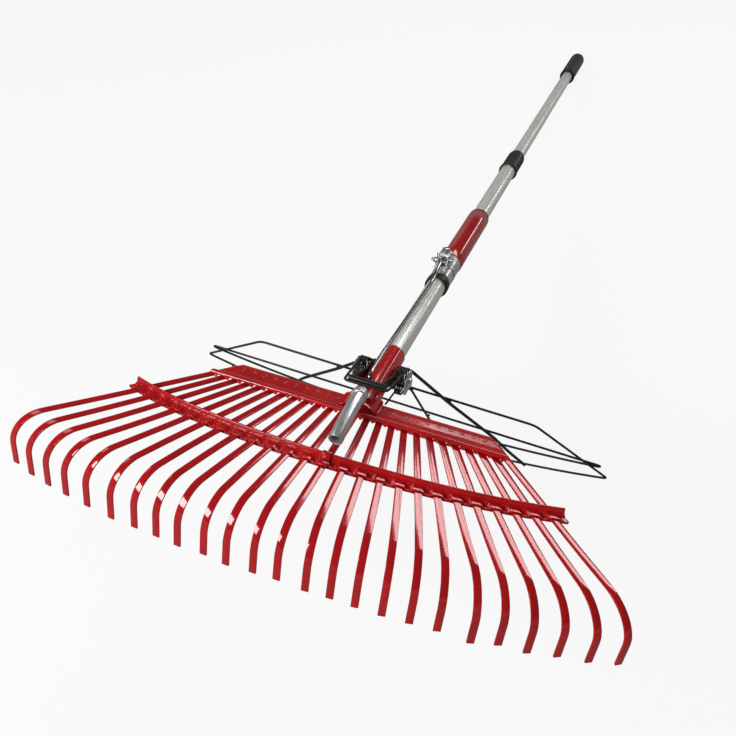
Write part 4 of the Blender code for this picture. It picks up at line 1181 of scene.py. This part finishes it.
# Y, Z and half width of the arm, in mm, from its front end to its rear end.
ARM_LINE = ((12, 24, 3.7), (21, 20, 4.2), (30, 16, 4.6), (40, 11.4, 5.0), (50, 7, 5.4),
            (57, 3.7, 6.4), (62, 1.4, 8.4), (66, -0.6, 10.2), (70, -2.2, 11.3), (74, -3.4, 11.6),
            (78, -3.8, 11.2), (82, -3.8, 10.2), (87, -3.6, 8.0), (92, -3.4, 6.4), (98, -3.0, 5.4))
CROSSBAR = ((0.01, -21.0), (2.8, -21.0), (3.3, -20.6), (3.4, -20.0), (3.4, 0), (3.4, 20.0),
            (3.3, 20.6), (2.8, 21.0), (0.01, 21.0))
RUBBED_GREY = (0.09, 0.088, 0.085)


def black_steel(name, tone, gloss):
    """Black enamelled steel: thin coat over a drawn surface, rubbed here and there."""
    enamel = Finish(name)
    cloud = enamel.grain(70, 3)
    fine = enamel.grain(1200)
    rubbed = enamel.step(enamel.grain(240, 3), 0.66, 0.76)
    base = enamel.mix(cloud, (tone, tone, tone), (tone * 1.8, tone * 1.75, tone * 1.7))
    enamel.give("Base Color", enamel.mix(0.4 * rubbed, base, RUBBED_GREY))
    enamel.give("Metallic", 0.15 + 0.5 * rubbed)
    enamel.give("Roughness", gloss + 0.12 * cloud + 0.08 * fine)
    enamel.relief(fine + 0.6 * cloud, 0.008 * MM)
    return enamel.material


def arm_place(at, side):
    """From a flat sheet (station, -1 or 1 at its edges) to the arm on one side."""
    row = round(at.x)
    y, z, half = ARM_LINE[row]
    before, after = ARM_LINE[max(row - 1, 0)], ARM_LINE[min(row + 1, len(ARM_LINE) - 1)]
    heading = Vector((0, after[0] - before[0], after[1] - before[1])).normalized()
    square = Vector((0, -heading.z, heading.y)) * half * at.y
    return (Vector((side * ARM_MIDDLE, y, z)) + square) * MM


yoke = turned_piece("yoke_arms_and_crossbar", CROSSBAR, 32)
yoke.data.transform(cross_place(CROSSBAR_SPOT))
last = len(ARM_LINE) - 1
arms = []
for side in (-1, 1):
    arm = flat_sheet("yoke_arm", last, 1, (last / 2, 0, 0), last, 2)
    bend_to(arm, lambda at: arm_place(at, side))
    edit(arm)
    pick("VERT", lambda at: at.y < ARM_ENDS[0] or at.y > ARM_ENDS[1])
    bpy.ops.mesh.bevel(offset=ARM_CORNER, segments=5, affect="VERTICES")
    leave()
    give_wall(arm, ARM_SHEET)
    face_out(arm)
    soften(arm, ARM_EDGE)
    arms.append(arm)
join(yoke, *arms)
settle(yoke, black_steel("yoke_black_enamel", 0.013, 0.26), angle=35)
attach(yoke, "jaw")
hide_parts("yoke")


# Pivot: a plated bolt through socket and pole, with a domed head and nut and a
# wide cap washer at each end.
BOLT_END = ((4.0, 16.0), (4.0, 32.4), (6.0, 32.45), (6.2, 32.7), (6.1, 34.0), (5.4, 34.9),
            (4.0, 35.6), (2.2, 35.9), (0.01, 36.0))
WASHER = ((4.4, 0.2), (4.6, 0), (13.4, 0), (14.6, 0.15), (15.0, 0.6), (15.0, 1.3), (14.6, 1.75),
          (13.4, 1.8), (12.6, 1.5), (7.0, 1.3), (4.6, 1.35), (4.4, 1.2), (4.4, 0.2))
WASHER_SPOT = Vector((0, 0, 30.2)) * MM

other_end = tuple((radius, -height) for radius, height in reversed(BOLT_END))
pivot_bolt = turned_piece("pivot_bolt_domed", other_end + BOLT_END, 40)
settle(pivot_bolt, zinc_finish, cross_place(PIVOT), 35)
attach(pivot_bolt, "head")
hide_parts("pivot_bolt")
for label, flip in (("left", math.pi), ("right", 0)):
    washer = turned_piece("pivot_washer_" + label + "_cap", WASHER, 56)
    flipped = Matrix.Rotation(flip, 4, "X") @ Matrix.Translation(WASHER_SPOT)
    settle(washer, zinc_finish, cross_place(PIVOT) @ flipped, 35)
    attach(washer, "head")
    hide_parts("pivot_washer_" + label)


# Spring: one black spring wire with a coil on each side of the pivot. A foot
# presses on the rear bar, and a bridge across the front lies on the crossbar.
# On the real rake the coils wind up as the jaw turns; here they stay still, and the bridge turns
# with the jaw.
SPRING_RADIUS = 15.4 * MM
SPRING_PITCH = 2.65 * MM
SPRING_TURNS = 3.455
SPRING_STEPS = 90
SPRING_START = math.radians(274.3)
SPRING_INNER = 18.8 * MM
SPRING_WIRE = 1.1 * MM
BRIDGE_WIRE = 1.5 * MM
BRIDGE_CORNER = 6 * MM
SPRING_FOOT = Vector((15.9, 45.6, -21.0)) * MM
SPRING_BEND = Vector((24.5, 6.6, 23.0)) * MM


def rounded(points, radius, closed=False, steps=7):
    """A line through points with its corners rounded off."""
    line = []
    count = len(points)
    for number, at in enumerate(points):
        if not closed and number in (0, count - 1):
            line.append(at)
            continue
        before, after = points[number - 1], points[(number + 1) % count]
        size = min(radius, (before - at).length / 2.1, (after - at).length / 2.1)
        start = at + (before - at).normalized() * size
        stop = at + (after - at).normalized() * size
        for step in range(steps + 1):
            t = step / steps
            line.append(start * (1 - t) ** 2 + at * 2 * t * (1 - t) + stop * t ** 2)
    return line


def mirrored_line(line, side):
    return [Vector((side * point.x, point.y, point.z)) for point in line]


coil = []
for step in range(SPRING_STEPS + 1):
    turn = SPRING_TURNS * step / SPRING_STEPS
    angle = SPRING_START + 2 * math.pi * turn
    coil.append(Vector((SPRING_INNER + SPRING_PITCH * turn,
                        PIVOT.y + SPRING_RADIUS * math.cos(angle),
                        PIVOT.z + SPRING_RADIUS * math.sin(angle))))
spring_line = rounded([SPRING_FOOT] + coil[:3], 2 * MM)[:-1] + coil[3:]
spring_finish = black_steel("spring_black_steel", 0.009, 0.40)
for side, label in ((-1, "left"), (1, "right")):
    spring = wire_piece("spring_coil_" + label, mirrored_line(spring_line, side), SPRING_WIRE)
    settle(spring, spring_finish)
    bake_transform(spring)
    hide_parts("torsion_spring")
leg = [coil[-2], coil[-1], SPRING_BEND]
bridge_line = rounded(mirrored_line(leg, -1) + leg[::-1], BRIDGE_CORNER)
bridge = wire_piece("spring_bridge", bridge_line, BRIDGE_WIRE)
settle(bridge, spring_finish)
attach(bridge, "jaw")
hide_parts("torsion_spring")


# Jaw: black enamelled wires in one plane, welded where they cross: a frame, a
# long loop laid on it, two thick braces to the yoke's arms and a thin hairpin.
JAW_BACK_Y = 140.4 * MM
JAW_BACK_Z = -52.7 * MM
JAW_TILT = math.radians(-52.7)
JAW_ROLL = math.radians(1.32)
JAW_BACK_HALF = 178.8
JAW_TIP_HALF = 284.0
JAW_TIP_DEPTH = 118.4
JAW_BOW = 81.9
JAW_FLAT_HALF = 70.0
LOOP_HALF = 270.0
LOOP_END = 267.0
LOOP_DEPTH = 86.3
LOOP_CORNER_DEPTH = 89.3
LOOP_BOW = 52.0
LOOP_GAP = 6.0
BOW_STEPS = 48
LOOP_STEPS = 32
FRAME_CORNER = 9 * MM
LOOP_CORNER = 4 * MM
HAIRPIN_CORNER = 6 * MM
BRACE_CORNER = 12 * MM
JAW_WIRE = 1.5 * MM
BRACE_WIRE = 2.0 * MM
WIRE_LIFT = 3.3 * MM
BRACE_LIFT = -4.6 * MM
BRACE_HEAD = ((18.9, 98, -2.9), (23.5, 98.5, -2.6), (27.7, 101, -4.5))
BRACE_LEGS = ((72.6, 0), (132.5, 81.6), (153.2, 120), (178.5, 158.5))
HAIRPIN = ((20, -4), (24, -2), (40.8, 76.4), (47.3, 104.4), (55.3, 189))
# Across and down the jaw's plane and the lift over it, in mm, on each side.
WELDS = ((24.4, 0, -1.65), (42.8, LOOP_DEPTH, -0.6), (73.0, 0, -2.0), (258.0, 89.0, 1.65),
         (255.4, LOOP_DEPTH, 1.65))
WELD_RADIUS = 1.9 * MM
WELD_WIDTHS = (1.0, 1.35)
WELD_HEIGHTS = (0.8, 1.1)
WELD_ROUGH = 0.16 * MM


def jaw_spot(x, depth, lift=0.0):
    """A spot of the jaw's plane, in millimetres across and down it."""
    rise = depth * MM * math.sin(JAW_TILT) + lift * math.cos(JAW_TILT)
    return Vector((x * MM * math.cos(JAW_ROLL) + rise * math.sin(JAW_ROLL),
                   JAW_BACK_Y + depth * MM * math.cos(JAW_TILT) - lift * math.sin(JAW_TILT),
                   JAW_BACK_Z - x * MM * math.sin(JAW_ROLL) + rise * math.cos(JAW_ROLL)))


def jaw_line(spots, lift, corner, **kind):
    """A line in the jaw's plane through spots, with its corners rounded off."""
    return rounded([jaw_spot(x, depth, lift) for x, depth in spots], corner, **kind)


def bow_spot(x):
    reach = max(abs(x), JAW_FLAT_HALF) / JAW_TIP_HALF
    return x, JAW_TIP_DEPTH + JAW_BOW * (1 - reach * reach)


def loop_spot(x):
    return x, LOOP_DEPTH + LOOP_GAP + (LOOP_BOW - LOOP_GAP) * (1 - (x / LOOP_END) ** 2)


frame_spots = [(-JAW_BACK_HALF, 0), (JAW_BACK_HALF, 0)]
frame_spots += [bow_spot(JAW_TIP_HALF * (1 - 2 * step / BOW_STEPS))
                for step in range(BOW_STEPS + 1)]
loop_spots = [(-LOOP_END, LOOP_DEPTH), (0, LOOP_DEPTH), (LOOP_END, LOOP_DEPTH),
              (LOOP_HALF, LOOP_CORNER_DEPTH)]
loop_spots += [loop_spot(LOOP_END * (1 - 2 * step / LOOP_STEPS))
               for step in range(LOOP_STEPS + 1)]
loop_spots += [(-LOOP_HALF, LOOP_CORNER_DEPTH)]
hairpin_spots = [(-x, depth) for x, depth in HAIRPIN[::-1]] + list(HAIRPIN)
wire_finish = black_steel("wire_black_enamel", 0.012, 0.28)
for name, line, closed, nodes in (
        ("jaw_frame_wire", jaw_line(frame_spots, 0, FRAME_CORNER, closed=True, steps=5), True,
         ("jaw_back_wire", "jaw_side_left", "jaw_side_right", "jaw_front_wire")),
        ("jaw_loop_wire", jaw_line(loop_spots, WIRE_LIFT, LOOP_CORNER, closed=True, steps=4),
         True, ("jaw_loop",)),
        ("jaw_hairpin_wire", jaw_line(hairpin_spots, -WIRE_LIFT, HAIRPIN_CORNER), False,
         ("jaw_hairpin",))):
    wire = wire_piece(name, line, JAW_WIRE, closed)
    settle(wire, wire_finish)
    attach(wire, "jaw")
    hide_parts(*nodes)

for side, label in ((-1, "left"), (1, "right")):
    head = mirrored_line([Vector(spot) * MM for spot in BRACE_HEAD], side)
    legs = [jaw_spot(side * x, depth, BRACE_LIFT) for x, depth in BRACE_LEGS]
    brace = wire_piece("jaw_brace_" + label + "_rod", rounded(head + legs, BRACE_CORNER),
                       BRACE_WIRE, fineness=5)
    soften(brace, 0.5 * MM, 2, 60)
    settle(brace, wire_finish)
    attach(brace, "jaw")
    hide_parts("jaw_brace_" + label)

welds = []
weld_sizes = random.Random(7)
for side in (-1, 1):
    for x, depth, lift in WELDS:
        deselect()
        bpy.ops.mesh.primitive_ico_sphere_add(subdivisions=2, radius=WELD_RADIUS,
                                              location=jaw_spot(side * x, depth, lift * MM))
        welds.append(bpy.context.object)
        edit(welds[-1])
        bpy.ops.mesh.select_all(action="SELECT")
        bpy.ops.transform.resize(value=[weld_sizes.uniform(*sizes) for sizes in
                                        (WELD_WIDTHS, WELD_HEIGHTS, WELD_HEIGHTS)])
        bpy.ops.transform.vertex_random(offset=WELD_ROUGH, seed=weld_sizes.randrange(1000))
        leave()
        new_piece("jaw_weld_beads")
join(*welds)
settle(welds[0], wire_finish, angle=60)
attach(welds[0], "jaw")
